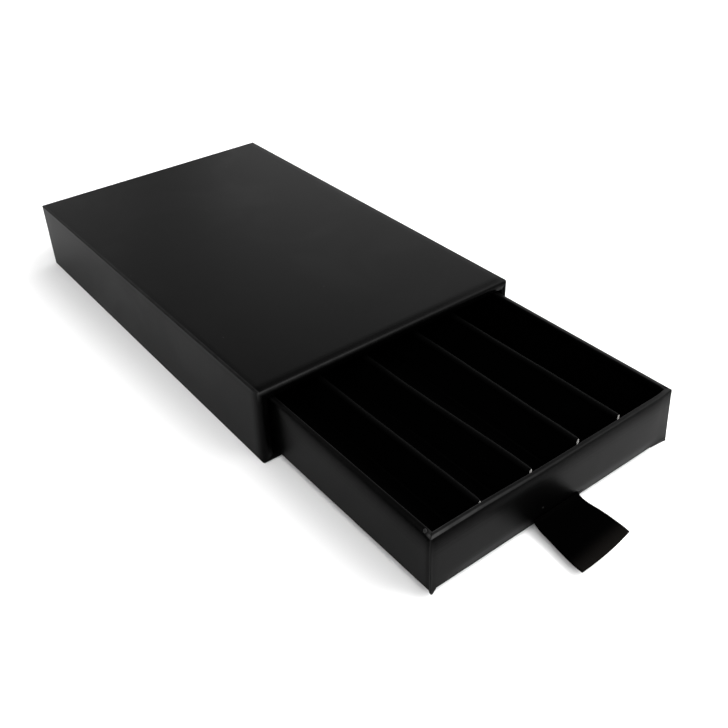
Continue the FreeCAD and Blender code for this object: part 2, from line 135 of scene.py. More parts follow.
class Graph:
    """A node tree with short ways to add nodes and join them."""

    def __init__(self, tree: bpy.types.NodeTree) -> None:
        """Take over a node tree."""
        self.tree = tree

    def add(self, kind: str, values: dict[Any, Any] | None = None, **settings: Any) -> bpy.types.Node:
        """Add a node.

        Args:
            kind: the node's type name.
            values: what its inputs are set to or joined to, by name or number.
            settings: the node's own properties.

        Returns:
            The new node.
        """
        node = self.tree.nodes.new(kind)
        for name, value in settings.items():
            setattr(node, name, value)
        for key, value in (values or {}).items():
            if isinstance(value, Socket):
                self.tree.links.new(value, node.inputs[key])
            else:
                node.inputs[key].default_value = value
        return node

    def math(self, operation: str, *terms: Any) -> Socket:
        """The result of one of the Math node's operations on sockets or numbers."""
        return self.add("ShaderNodeMath", dict(enumerate(terms)), operation=operation).outputs[0]

    def ramp(self, value: Socket, low: float, high: float, start: Any = 0.0, end: Any = 1.0) -> Socket:
        """A smooth step of a value: start up to low, and end from high on."""
        values = {"Value": value, "From Min": low, "From Max": high, "To Min": start, "To Max": end}
        return self.add("ShaderNodeMapRange", values, interpolation_type="SMOOTHSTEP").outputs["Result"]

    def blend(self, mask: Socket, first: Any, second: Any) -> Socket:
        """Mix two colours, each a triple or a socket: a mask of 0 gives the first, and 1 the second."""
        colors = [(*color, 1.0) if isinstance(color, tuple) else color for color in (first, second)]
        return self.add("ShaderNodeMix", {0: mask, 6: colors[0], 7: colors[1]}, data_type="RGBA").outputs[2]

    def noise(self, place: Socket, scale: float, detail: float, distortion: float = 0.0) -> Socket:
        """The value of a noise texture at a place."""
        values = {"Vector": place, "Scale": scale, "Detail": detail, "Distortion": distortion}
        return self.add("ShaderNodeTexNoise", values).outputs[0]


class SharedGroup(Graph):
    """A shader group in the making.

    Attributes:
        given: the sockets that its inputs come from.
    """

    def __init__(self, name: str, inputs: Sequence[str], outputs: Sequence[str]) -> None:
        """Start the group.

        Args:
            name: its name.
            inputs: its inputs; the one called Vector is a vector, and the others are numbers.
            outputs: its outputs, all numbers.
        """
        super().__init__(bpy.data.node_groups.new(name, "ShaderNodeTree"))
        for way, labels in (("INPUT", inputs), ("OUTPUT", outputs)):
            for label in labels:
                kind = "NodeSocketVector" if label == "Vector" else "NodeSocketFloat"
                self.tree.interface.new_socket(label, in_out=way, socket_type=kind)
        self.given = self.add("NodeGroupInput").outputs

    def close(self, *results: Socket) -> bpy.types.NodeTree:
        """Join the results to the group's outputs, in order, and give the group."""
        self.add("NodeGroupOutput", dict(enumerate(results)))
        return self.tree


class Coat(Graph):
    """A material's graph, round one Principled shader.

    Attributes:
        shader: the shader.
        place: the object coordinates.
    """

    def __init__(self, material: bpy.types.Material, values: dict[str, Any]) -> None:
        """Start the graph.

        Args:
            material: the new material.
            values: what the shader's inputs are set to.
        """
        material.use_nodes = True
        material.node_tree.nodes.clear()
        super().__init__(material.node_tree)
        self.shader = self.add("ShaderNodeBsdfPrincipled", values)
        self.add("ShaderNodeOutputMaterial", {"Surface": self.shader.outputs[0]})
        self.place = self.add("ShaderNodeTexCoord").outputs["Object"]

    def feed(self, name: str, value: Socket) -> None:
        """Join a socket to one of the shader's inputs."""
        self.tree.links.new(value, self.shader.inputs[name])

    def group(self, tree: bpy.types.NodeTree, **values: Any) -> Any:
        """The outputs of a shared group at this place, with its other inputs set or joined by name."""
        return self.add("ShaderNodeGroup", {0: self.place, **values}, node_tree=tree).outputs

    def attribute(self, name: str) -> Socket:
        """The value of one of the mesh's attributes."""
        return self.add("ShaderNodeAttribute", attribute_name=name).outputs["Fac"]

    def emboss(self, height: Socket, depth: float) -> None:
        """Raise the surface, over what it is raised by already.

        Args:
            height: the height, about 0 to 1.
            depth: how high 1 is, in metres.
        """
        bump = self.add("ShaderNodeBump", {"Height": height, "Distance": depth, "Strength": 1.0})
        normal = self.shader.inputs["Normal"]
        if normal.is_linked:
            self.tree.links.new(normal.links[0].from_socket, bump.inputs["Normal"])
        self.feed("Normal", bump.outputs[0])


@functools.cache
def fibre_group() -> bpy.types.NodeTree:
    """The felt of fine fibres in paper and board.

    Returns:
        A group with Height, for bump, and Fleck, a mask of single fibres.
    """
    group = SharedGroup("pressed_fibres", ("Vector", "Scale"), ("Height", "Fleck"))
    values = {0: group.given["Vector"], "Scale": group.given["Scale"]}
    place = group.add("ShaderNodeVectorMath", values, operation="SCALE").outputs[0]
    felt = group.noise(place, scale=1.0, detail=3.0)
    bent = group.add("ShaderNodeMapping", {"Vector": place, "Scale": (0.35, 1.0, 0.6)}).outputs[0]
    strand = group.noise(bent, scale=0.55, detail=4.0, distortion=1.6)
    ridge = group.math("ABSOLUTE", group.math("SUBTRACT", strand, 0.5))
    fleck = group.ramp(ridge, low=0.012, high=0.03, start=1.0, end=0.0)
    height = group.math("ADD", felt, group.math("MULTIPLY", fleck, 0.35))
    return group.close(height, fleck)


@functools.cache
def handling_group() -> bpy.types.NodeTree:
    """The marks that hands and dust leave on a dark surface.

    Returns:
        A group with Smudge, a soft mask, and Speck, a mask of single motes.
    """
    group = SharedGroup("handling_marks", ("Vector",), ("Smudge", "Speck"))
    smear = group.noise(group.given["Vector"], scale=38.0, detail=5.0, distortion=0.8)
    motes = group.add("ShaderNodeTexVoronoi", {"Vector": group.given["Vector"], "Scale": 210.0}).outputs
    chance = group.add("ShaderNodeSeparateColor", {0: motes["Color"]}).outputs[0]
    rare = group.ramp(chance, low=0.93, high=0.95)
    dot = group.ramp(motes["Distance"], low=0.02, high=0.05, start=1.0, end=0.0)
    return group.close(group.ramp(smear, low=0.42, high=0.72), group.math("MULTIPLY", dot, rare))


@functools.cache
def rub_and_highlight_group() -> bpy.types.NodeTree:
    """Where folded edges are lightened, by rubbing and by painted highlights, from the mesh's own edge
    attribute.

    Returns:
        Rub, a broken mask along the edges, for rubbing and painted highlights.
    """
    group = SharedGroup("rubbed_edges", ("Vector", "Edge"), ("Rub",))
    # the mask lightens edges partly for rubbing and partly as painted highlights
    patch = group.noise(group.given["Vector"], scale=260.0, detail=4.0)
    broken = group.ramp(patch, low=0.36, high=0.64, start=0.55, end=1.0)
    return group.close(group.math("MULTIPLY", group.math("POWER", group.given["Edge"], 2.0), broken))


# ---------------------------------------------------------------- finishes


@dataclass(frozen=True)
class Finish:
    """A surface finish.

    Attributes:
        name: its material's name.
        color: its colour.
        roughness: how dull it is.
        specular: how strongly it reflects.
        grains: how fine its grain is, as grains in a metre.
        relief: how deep its grain is.
    """

    name: str
    color: Triple
    roughness: float
    specular: float = 0.5
    grains: float = 0.0
    relief: float = 0.02 * MM

    def material(self) -> bpy.types.Material:
        """The finish as a material, made the first time that it is asked for.

        Returns:
            The material.
        """
        if self.name in bpy.data.materials:
            return bpy.data.materials[self.name]
        made = bpy.data.materials.new(self.name)
        values = {
            "Base Color": (*self.color, 1.0),
            "Roughness": self.roughness,
            "Specular IOR Level": self.specular,
        }
        self.grain(Coat(made, values))
        return made

    def grain(self, coat: Coat) -> None:
        """Work the grain into the material's graph. Each kind of finish has its own."""
        raise NotImplementedError


@dataclass(frozen=True)
class SoftTouchPaper(Finish):
    """Black cover paper with a soft-touch film: even, faintly smudged, and lighter along its edges, from
    rubbing and from painted highlights.

    Attributes:
        rubbed_and_highlit: the colour of an edge lightened by rubbing, also used for painted highlights on
            folds and rims.
        dust: the colour of a mote of dust.
        smoother: how much less dull a smudge is.
        waves: how close the board's slow waves are.
        swell: how high they are beside the grain.
    """

    grains: float = 4200.0
    relief: float = 0.0016 * MM
    rubbed_and_highlit: Triple = (0.024, 0.024, 0.024)
    dust: Triple = (0.05, 0.05, 0.05)
    smoother: float = 0.04
    waves: float = 55.0
    swell: float = 10.0

    def grain(self, coat: Coat) -> None:
        """Mottle the colour and gloss, and emboss the soft folds, the film's grain and the slow waves.

        Args:
            coat: the material's graph.
        """
        marks = coat.group(handling_group())
        fibres = coat.group(fibre_group(), Scale=self.grains)
        rub_and_highlight = coat.group(rub_and_highlight_group(), Edge=coat.attribute("edge"))
        # blend in the lighter edge colour: partly rubbing, partly painted highlights on the folds and rims
        worn_and_highlit = coat.blend(rub_and_highlight["Rub"], self.color, self.rubbed_and_highlit)
        coat.feed("Base Color", coat.blend(marks["Speck"], worn_and_highlit, self.dust))
        least = self.roughness - self.smoother
        coat.feed("Roughness", coat.ramp(marks["Smudge"], 0.0, 1.0, self.roughness, least))
        coat.emboss(coat.attribute("loft"), 1.0)
        swell = coat.math("MULTIPLY", coat.noise(coat.place, self.waves, detail=2.0), self.swell)
        coat.emboss(coat.math("ADD", fibres["Height"], swell), self.relief)


@dataclass(frozen=True)
class FibrousSheet(Finish):
    """Bare paper, card, board or tape: felted, with fibres pressed in.

    Attributes:
        fibre: the colour of its single fibres.
        showing: how much they show.
        patch: the colour of its darker patches, where it is mottled.
    """

    grains: float = 2600.0
    fibre: Triple = (0.001, 0.001, 0.001)
    showing: float = 1.0
    patch: Triple | None = None

    def grain(self, coat: Coat) -> None:
        """Mottle the sheet, scatter its fibres and emboss the felt.

        Args:
            coat: the material's graph.
        """
        fibres = coat.group(fibre_group(), Scale=self.grains)
        body: Any = self.color
        if self.patch:
            cloud = coat.noise(coat.place, self.grains / 6, detail=6.0)
            body = coat.blend(coat.ramp(cloud, low=0.3, high=0.75), self.patch, self.color)
        faint = coat.math("MULTIPLY", fibres["Fleck"], self.showing)
        coat.feed("Base Color", coat.blend(faint, body, self.fibre))
        coat.emboss(fibres["Height"], self.relief)


@dataclass(frozen=True)
class WovenRibbon(Finish):
    """Close-woven ribbon: fine ribs across it, crossed by the threads along it.

    Attributes:
        thread: the colour of the raised threads.
        end_highlight: the paler colour of the end, a painted highlight where the end catches the light.
        end_highlight_from: how far along the ribbon that painted highlight begins.
        end_highlight_over: over what length it pales.
        rib_pitch: how far apart the ribs are.
        thread_pitch: how far apart the threads are.
    """

    thread: Triple = (0.0005, 0.0005, 0.0005)
    # painted highlight: the ribbon's end is paler where it catches the light
    end_highlight: Triple = (0.0052, 0.0047, 0.0043)
    end_highlight_from: float = 23.2 * MM
    end_highlight_over: float = 6 * MM
    rib_pitch: float = 0.32 * MM
    thread_pitch: float = 0.22 * MM

    def grain(self, coat: Coat) -> None:
        """Emboss the weave from the ribbon's own coordinates, which are in metres.

        Args:
            coat: the material's graph.
        """
        flat = coat.add("ShaderNodeUVMap", uv_map="weave").outputs[0]
        across, along, _ = coat.add("ShaderNodeSeparateXYZ", {0: flat}).outputs
        ribs = coat.math("SINE", coat.math("MULTIPLY", along, 2 * math.pi / self.rib_pitch))
        threads = coat.math("SINE", coat.math("MULTIPLY", across, 2 * math.pi / self.thread_pitch))
        over = coat.math("MULTIPLY", ribs, threads)
        height = coat.math("ADD", ribs, coat.math("MULTIPLY", over, 0.5))
        color = coat.blend(coat.ramp(height, low=-0.8, high=1.4), self.color, self.thread)
        # the end pales: a painted highlight where it catches the light
        end = coat.ramp(along, self.end_highlight_from, self.end_highlight_from + self.end_highlight_over)
        coat.feed("Base Color", coat.blend(end, color, self.end_highlight))
        coat.emboss(height, self.relief)


@dataclass(frozen=True)
class Tabletop(Finish):
    """Plain pale table."""

    grains: float = 900.0
    relief: float = 0.004 * MM

    def grain(self, coat: Coat) -> None:
        """Give the table a barely visible tooth."""
        coat.emboss(coat.noise(coat.place, self.grains, detail=2.0), self.relief)


BLACK = (0.0003, 0.0003, 0.0003)
CARD_CORE = FibrousSheet(
    "card_core", (0.5, 0.49, 0.47), 0.9, 0.1, 5000.0, fibre=(0.65, 0.64, 0.62), patch=(0.35, 0.34, 0.33)
)
TABLETOP = Tabletop("pale_tabletop", (0.86, 0.86, 0.86), 0.9, 0.0)
FINISHES = {
    Slot.GREYBOARD: FibrousSheet(
        "pressed_greyboard",
        (0.34, 0.32, 0.29),
        0.9,
        0.2,
        1500.0,
        fibre=(0.5, 0.47, 0.42),
        patch=(0.16, 0.15, 0.13),
    ),
    Slot.COVER: SoftTouchPaper("soft_touch_paper", BLACK, 0.38, 0.035),
    Slot.LINING: FibrousSheet("felted_lining", BLACK, 0.5, 0.001, relief=0.008 * MM, showing=0.3),
    Slot.TAPE: FibrousSheet(
        "kraft_tape", (0.42, 0.31, 0.19), 0.75, 0.3, 2200.0, fibre=(0.55, 0.43, 0.28), patch=(0.3, 0.2, 0.11)
    ),
    Slot.CARD: FibrousSheet("dyed_card", BLACK, 0.6, 0.02, relief=0.008 * MM, showing=0.3),
    Slot.RIBBON: WovenRibbon("woven_ribbon", (0.0002, 0.0002, 0.0002), 0.6, 0.001),
}


# ---------------------------------------------------------------- pieces


@dataclass(frozen=True)
class Extent:
    """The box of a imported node, at rest."""

    low: Vector
    high: Vector

    @classmethod
    def of(cls, node: str) -> "Extent":
        """Read a node's box from the frame."""
        return cls(*(Vector(corner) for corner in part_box(node)))


def plain_mesh(
    name: str, points: Sequence[Any], faces: Faces, smooth: bool = False, **layers: Sequence[float]
) -> Mesh:
    """Make a mesh.

    Args:
        name: its name.
        points: its vertices.
        faces: its faces.
        smooth: whether it is shaded smooth.
        layers: the attributes that its vertices carry.

    Returns:
        The mesh.
    """
    mesh = bpy.data.meshes.new(name)
    mesh.from_pydata([tuple(point) for point in points], [], faces)
    for layer, values in layers.items():
        attribute = mesh.attributes.new(layer, "FLOAT", "POINT")
        attribute.data.foreach_set("value", np.array(values, np.float32))
    if smooth:
        mesh.shade_smooth()
    mesh.update()
    return mesh


def skin(
    name: str,
    points: Sequence[Vector],
    faces: Faces,
    way: Vector | None = None,
    smooth: bool = True,
    **layers: Sequence[float],
) -> Mesh:
    """Make a mesh whose faces look outward.

    Args:
        name: its name.
        points: its vertices.
        faces: its faces.
        way: the way that they look on the whole, where that isn't away from its middle.
        smooth: whether it is shaded smooth.
        layers: the attributes that its vertices carry.

    Returns:
        The mesh.
    """
    mesh = plain_mesh(name, points, faces, smooth, **layers)
    middle = sum(points, Vector()) / len(points)
    if sum(f.normal.dot(way or f.center - middle) * f.area for f in mesh.polygons) < 0:
        mesh.flip_normals()
        mesh.update()
    return mesh


def new_piece(name: str, mesh: Mesh) -> Piece:
    """Put a mesh in the scene.

    Args:
        name: the piece's name.
        mesh: its mesh.

    Returns:
        The piece, at the origin.
    """
    piece = bpy.data.objects.new(name, mesh)
    bpy.context.scene.collection.objects.link(piece)
    return piece


def applied(piece: Piece) -> Piece:
    """Turn a piece's modifiers into its mesh and take them off.

    Args:
        piece: the piece.

    Returns:
        The same piece, with a plain mesh.
    """
    graph = bpy.context.evaluated_depsgraph_get()
    made = bpy.data.meshes.new_from_object(piece.evaluated_get(graph))
    piece.modifiers.clear()
    piece.data = made
    return piece


def thickened(name: str, mesh: Mesh, thickness: float) -> Piece:
    """Make a piece from a sheet, thickened inward from its outer face.

    Args:
        name: the piece's name.
        mesh: its outer face.
        thickness: its thickness.

    Returns:
        The piece.
    """
    piece = new_piece(name, mesh)
    solid = piece.modifiers.new("thickness", "SOLIDIFY")
    solid.thickness = thickness
    solid.offset = -1.0
    return applied(piece)


def settle(piece: Piece, body: Body, slot: Slot, *nodes: str) -> Piece:
    """Give a piece its finish, its body and the nodes that it stands for.

    Args:
        piece: the piece.
        body: the half that it moves with.
        slot: the record's slot for it, which gives its finish.
        nodes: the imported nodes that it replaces.

    Returns:
        The same piece.
    """
    material = FINISHES[slot].material()
    if material.name not in piece.data.materials:
        piece.data.materials.append(material)
    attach(piece, body.value)
    if nodes:
        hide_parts(*nodes)
    return piece


def dress_nodes() -> list[str]:
    """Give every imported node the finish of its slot.

    Returns:
        The nodes' names.
    """
    slots = {row["node"]: Slot(row["material_slot"]) for row in frame["record"]["subparts"]}
    for name, node in frame["nodes"].items():
        node.data.materials.clear()
        node.data.materials.append(FINISHES[slots[name]].material())
    return sorted(slots)


# ---------------------------------------------------------------- paper shells


@dataclass(frozen=True)
class Loop:
    """A rounded rectangle that keeps its stations when it is drawn in.

    Attributes:
        low: its lowest corner.
        high: its highest corner.
        radius: the round of its corners.
        marks: further stations, each on a side at a fixed coordinate.
        pitch: about how far apart the stations along a side are.
        near: stations at these distances from each corner's round, in millimetres.
        steps: how many parts each corner has.
    """

    low: Pair
    high: Pair
    radius: float
    marks: tuple[tuple[Side, float], ...] = ()
    pitch: float = 6 * MM
    near: tuple[float, ...] = (0.3, 0.6, 1, 1.4, 1.7, 2, 2.3, 2.6, 3, 3.7, 4.5)
    steps: int = 6

    def inner_stations(self, side: Side) -> list[float]:
        """The stations along the middle of a side.

        Args:
            side: the side.

        Returns:
            Their fixed coordinates, in the order walked.
        """
        axis = side.value % 2
        reach = self.radius + self.near[-1] * MM
        start, end = self.low[axis] + reach, self.high[axis] - reach
        marked = [place for mark, place in self.marks if mark is side]
        places = spread(start, end, max(2, round((end - start) / self.pitch)))[:-1]
        kept = [p for p in places if all(abs(p - m) > self.pitch / 4 for m in marked)]
        return sorted(kept + marked, reverse=side in (Side.HIGH, Side.LEFT))

    def walk(self, inset: float) -> tuple[np.ndarray, np.ndarray, np.ndarray]:
        """Walk round the loop, drawn in by an inset.

        Args:
            inset: how far each side is drawn in.

        Returns:
            The points, their outward normals, and each point's distance from the nearest corner's middle.
        """
        radius = max(self.radius - inset, 0.1 * MM)
        low, high = np.array(self.low) + inset, np.array(self.high) - inset
        near = [gap * MM for gap in self.near]
        half_arc = radius * math.pi / 4
        rows: list[tuple[Sequence[float], Sequence[float], float]] = []
        for side in Side:
            axis = side.value % 2
            sign = 1 if side in (Side.LOW, Side.RIGHT) else -1
            start, end = (low[axis] + radius, high[axis] - radius)[::sign]
            level = (low[1], high[0], high[1], low[0])[side.value]
            angle = math.radians((-90, 0, 90, 180)[side.value])
            normal = (math.cos(angle), math.sin(angle))
            middle = [c for c in self.inner_stations(side) if (c - start) * sign > 0 and (end - c) * sign > 0]
            along = [start + sign * gap for gap in near] + middle
            along += [end - sign * gap for gap in reversed(near)]
            for place in along:
                gap = min(abs(place - start), abs(end - place)) + half_arc
                rows.append(((place, level)[:: 1 - 2 * axis], normal, gap))
            centre = np.array((end, level)[:: 1 - 2 * axis]) - radius * np.array(normal)
            for step in range(self.steps + 1):
                turned = angle + math.pi / 2 * step / self.steps
                away = (math.cos(turned), math.sin(turned))
                gap = abs(step / self.steps - 0.5) * 2 * half_arc
                rows.append((centre + radius * np.array(away), away, gap))
        points, normals, gaps = (np.array(column) for column in zip(*rows))
        return points, normals, gaps


@dataclass(frozen=True)
class Step:
    """One stage of a shell's profile.

    Attributes:
        inset: how far the loop is drawn in.
        height: where it is along the shell's axis.
        edge: from 0, on a flat, to 1, on a folded edge.
        open: whether corner ridges show here.
        lean: how many degrees further round the soft paper looks here than it is drawn.
    """

    inset: float
    height: float
    edge: float = 0.0
    open: float = 1.0
    lean: float = 0.0


def arc(
    centre: Pair,
    radius: float,
    turn: Pair,
    steps: int = 6,
    edges: Pair = (1.0, 1.0),
    ridges: Pair = (1.0, 1.0),
    lean: Pair = (0.0, 0.0),
) -> list[Step]:
    """An arc of a profile.

    Args:
        centre: its centre, as inset and height.
        radius: its radius.
        turn: the angles at which it starts and ends, in degrees from the way that the inset grows.
        steps: how many parts it has.
        edges: how much it is an edge at its start and its end.
        ridges: how much corner ridges show at its start and its end.
        lean: the lean at its start and at its end.

    Returns:
        The steps along it.
    """
    found = []
    for i in range(steps + 1):
        angle, *rest = (first + (last - first) * i / steps for first, last in (turn, edges, ridges, lean))
        away = math.radians(angle)
        found.append(Step(centre[0] + radius * math.cos(away), centre[1] + radius * math.sin(away), *rest))
    return found


@dataclass
class Shell:
    """A paper cover: a loop drawn along a profile.

    Attributes:
        loop: its outline.
        profile: its stages, from the closed end to the turned-in end.
        place: puts a loop point and a height in the frame.
        ridge: how far the paper stands out along the loop's corners.
        ridge_width: how wide that ridge is.
        valley: how far the paper dips beside the ridge.
        soft_depth: how deep the soft round looks that the paper has along the loop's corners.
        soft_width: how wide that soft round is.
        soft_sides: how much of that round the two pairs of sides have.
        corner_wear_and_highlight: how much the loop's corners are lightened, partly by rubbing and partly as
            a painted highlight line.
        corner_line_width: how wide that lighter line is.
        wear_and_highlight: how much an edge is lightened at a point, by rubbing and by painted highlights.
        softness: how much of the leans shows at a point.
        dent: how deep a dent looks at a point.
        hole: tells, from its middle, whether a face is left out.
        nudge: moves a finished point.
    """

    loop: Loop
    profile: Sequence[Step]
    place: Callable[[float, float, float], Vector]
    ridge: float
    ridge_width: float
    soft_depth: float
    soft_width: float
    soft_sides: Pair
    corner_wear_and_highlight: float
    wear_and_highlight: Callable[[Vector], float]
    hole: Callable[[Vector], bool]
    nudge: Callable[[Vector], Vector]
    valley: float = 0.0
    corner_line_width: float = 0.25 * MM
    softness: Callable[[Vector], float] = field(default=lambda point: 1.0)
    dent: Callable[[Vector], float] = field(default=lambda point: 0.0)

    def relief(self, gaps: np.ndarray) -> np.ndarray:
        """How far the paper stands out, by distance from a corner."""
        width = self.ridge_width
        return self.ridge * bell(gaps, width) - self.valley * bell(gaps - 3.2 * width, 1.6 * width)

    def sinking(self) -> list[float]:
        """How deep each stage looks, in all, from the leans before it.

        Returns:
            The depths, stage by stage.
        """
        depths = [0.0]
        for before, after in zip(self.profile, self.profile[1:]):
            run = math.hypot(after.inset - before.inset, after.height - before.height)
            depths.append(depths[-1] - run * math.tan(math.radians((before.lean + after.lean) / 2)))
        return depths

    def mesh(self, name: str) -> Mesh:
        """Build the shell's outer surface.

        Args:
            name: the mesh's name.

        Returns:
            The mesh, with normals outward, and with edge and loft attributes.
        """
        points: list[Vector] = []
        edges: list[float] = []
        lofts: list[float] = []
        count = 0
        for step, depth in zip(self.profile, self.sinking()):
            flat, normals, gaps = self.loop.walk(step.inset)
            count = len(flat)
            flat = flat + normals * (self.relief(gaps) * step.open)[:, None]
            # a lighter line along the loop's corners: partly rubbing, partly a painted highlight
            near_corner = bell(gaps, self.corner_line_width) * step.open * self.corner_wear_and_highlight
            rounding = self.soft_depth * bell(gaps, self.soft_width) * step.open
            rounding = rounding * (normals**2 @ np.array(self.soft_sides))
            for (a, b), near, round_depth in zip(flat, near_corner, rounding):
                true = self.place(a, b, step.height)
                lofts.append(depth * self.softness(true) - round_depth - self.dent(true))
                points.append(self.nudge(true))
                edges.append(max(step.edge * self.wear_and_highlight(true), float(near)))
        faces = [tuple(reversed(range(count)))]
        for corners in grid(len(self.profile), count, closed=True):
            if not self.hole(sum((points[c] for c in corners), Vector()) / 4):
                faces.append(corners)
        return skin(name, points, faces, edge=edges, loft=lofts)


# ---------------------------------------------------------------- sleeve


@dataclass
class Sleeve:
    """The sleeve's cover paper.

    Attributes:
        paper: the paper's thickness.
        edge_round: the round of the long edges and of the back.
        mouth_round: the round over the mouth's outer edge.
        lip_round: the round into the mouth.
        window_gap: the seam left round the base sheet.
        splay: how far the foot of the left wall stands out at the mouth.
        splay_fall: how much of that is lost at the back.
        splay_band: how far left of the middle the splay begins, and is whole.
        crush: how soft the mouth looks, as distances from it in millimetres and leans in degrees.
        rim_leans: the same for the mouth's flat rim, as shares of it and leans.
        rub_and_highlight: how much every edge is lightened by rubbing, partly as a painted highlight.
        mouth_highlight: how much more the mouth's left end is lightened, a painted highlight, and how far
            that reaches.
        edge_highlight_line: how much the left edge's top is lightened in a painted highlight line, how far in
            that line is and how wide.
        highlight_depth: how far from the mouth the one gives way to the other.
        highlight_drop: how far below the top both begin to fade, and are gone.
    """

    paper: float = 0.12 * MM
    edge_round: float = 0.32 * MM
    mouth_round: float = 0.95 * MM
    lip_round: float = 0.25 * MM
    window_gap: float = 0.15 * MM
    splay: float = 0.6 * MM
    splay_fall: float = 0.85
    splay_band: Pair = (43.2 * MM, 44.2 * MM)
    crush: tuple[Pair, ...] = (
        (4.6, 0), (3.9, 2), (3.1, 6), (2.6, 11), (2.1, 15), (1.75, 19), (1.45, 23), (1.2, 28), (0.96, 34),
    )  # fmt: skip
    rim_leans: tuple[Pair, ...] = ((0.15, 14), (0.35, 28), (0.55, 34))
    # painted highlights: the bright roll at the mouth's left end and the bright line along the left edge's
    # top take the lighter edge colour, over slight rubbing on every edge
    rub_and_highlight: float = 0.15
    mouth_highlight: Pair = (0.75, 45 * MM)
    edge_highlight_line: Triple = (0.75, 0.6 * MM, 0.24 * MM)
    highlight_depth: Pair = (0.7 * MM, 1.2 * MM)
    highlight_drop: Pair = (1 * MM, 3 * MM)

    def build(self) -> Iterable[Piece]:
        """Make the cover paper, from the middle of the back to the end of its turn-in.

        Yields:
            The finished piece.
        """
        outer = Extent.of("sleeve_wrap")
        sheet = Extent.of("sleeve_base_sheet")
        liner = Extent.of("sleeve_liner")
        inside = outer.high.x - liner.high.x + self.paper
        gap = Vector((self.window_gap, self.window_gap))
        low, high = sheet.low.xy - gap, sheet.high.xy + gap

        def under_window(middle: Vector) -> bool:
            """Whether a face lies where the base sheet is."""
            return low.x < middle.x < high.x and low.y < middle.y < high.y and middle.z < self.paper

        def splayed(point: Vector) -> Vector:
            """Move a true point to where it is on the hand-made sleeve.

            Args:
                point: the true point.

            Returns:
                The moved point.
            """
            fall = 1 - self.splay_fall * (point.y - outer.low.y) / (outer.high.y - outer.low.y)
            share = ease(-point.x, *self.splay_band) * (1 - point.z / outer.high.z)
            return point - Vector((self.splay * fall * share, 0, 0))

        def rubbed_and_highlit(point: Vector) -> float:
            """How much the paper is lightened, by rubbing and by painted highlights: most at the left of the
            mouth's top, and along the left edge.

            Args:
                point: the place.

            Returns:
                The lightening, from 0 to 1.
            """
            on_top = 1 - ease(outer.high.z - point.z, *self.highlight_drop)
            away = point.x - outer.low.x
            mouth = self.rub_and_highlight + self.mouth_highlight[0] * on_top * bell(away, self.mouth_highlight[1])
            line = self.edge_highlight_line[0] * on_top * bell(away - self.edge_highlight_line[1], self.edge_highlight_line[2])
            return mouth + (line - mouth) * ease(point.y - outer.low.y, *self.highlight_depth)

        marks = ((Side.LOW, low.x), (Side.LOW, high.x))
        shell = Shell(
            loop=Loop(tuple(outer.low.xz), tuple(outer.high.xz), self.edge_round, marks),
            profile=self.profile(outer, inside, (low.y, high.y), liner.low.y),
            place=lambda a, b, height: Vector((a, height, b)),
            ridge=0.02 * MM,
            ridge_width=0.4 * MM,
            valley=0.02 * MM,
            soft_depth=0.12 * MM,
            soft_width=0.9 * MM,
            soft_sides=(0.1, 1.2),
            corner_wear_and_highlight=0.65,
            wear_and_highlight=rubbed_and_highlit,
            hole=under_window,
            nudge=splayed,
        )
        piece = thickened("sleeve_cover", shell.mesh("sleeve_cover"), self.paper)
        yield settle(piece, Body.SLEEVE, Slot.COVER, "sleeve_wrap")

    def profile(self, outer: Extent, inside: float, marks: Pair, turn_in: float) -> list[Step]:
        """The stages of the cover paper.

        Args:
            outer: the cover's box.
            inside: the inset of the sleeve's inner face.
            marks: two further places along the sleeve.
            turn_in: where the turned-in paper ends.

        Returns:
            The steps, from back to mouth and inward.
        """
        back, mouth = outer.high.y, outer.low.y
        flat, top, lip = self.edge_round, self.mouth_round, self.lip_round
        steps = [Step(3 * MM, back, open=0.0), Step(flat + 0.6 * MM, back, open=0.0)]
        steps += arc((flat, back - flat), flat, (90, 180))
        places = [back - flat - gap * MM for gap in (0.4, 0.9, 1.6, 3, 6)]
        places += spread(places[-1], mouth + 9.4 * MM, 14)
        places += [mouth + 6.4 * MM, *marks]
        steps += [Step(0.0, place, edge=1.0) for place in sorted(places, reverse=True)]
        steps += [Step(0.0, mouth + gap * MM, edge=1.0, lean=lean) for gap, lean in self.crush]
        soft = (self.crush[-1][1], 0)
        steps += arc((top, mouth + top), top, (180, 270), steps=10, edges=(1, 0), ridges=(1, 0), lean=soft)
        rim = inside - top
        steps += [Step(top + rim * share, mouth, open=0.0, lean=lean) for share, lean in self.rim_leans]
        steps += arc((inside - lip, mouth + lip), lip, (270, 360), edges=(0, 0.2), ridges=(0, 0))
        depth = turn_in - mouth
        steps += [Step(inside, mouth + depth * share, open=0.0) for share in (0.1, 0.3, 0.6, 1.0)]
        return steps


# ---------------------------------------------------------------- drawer


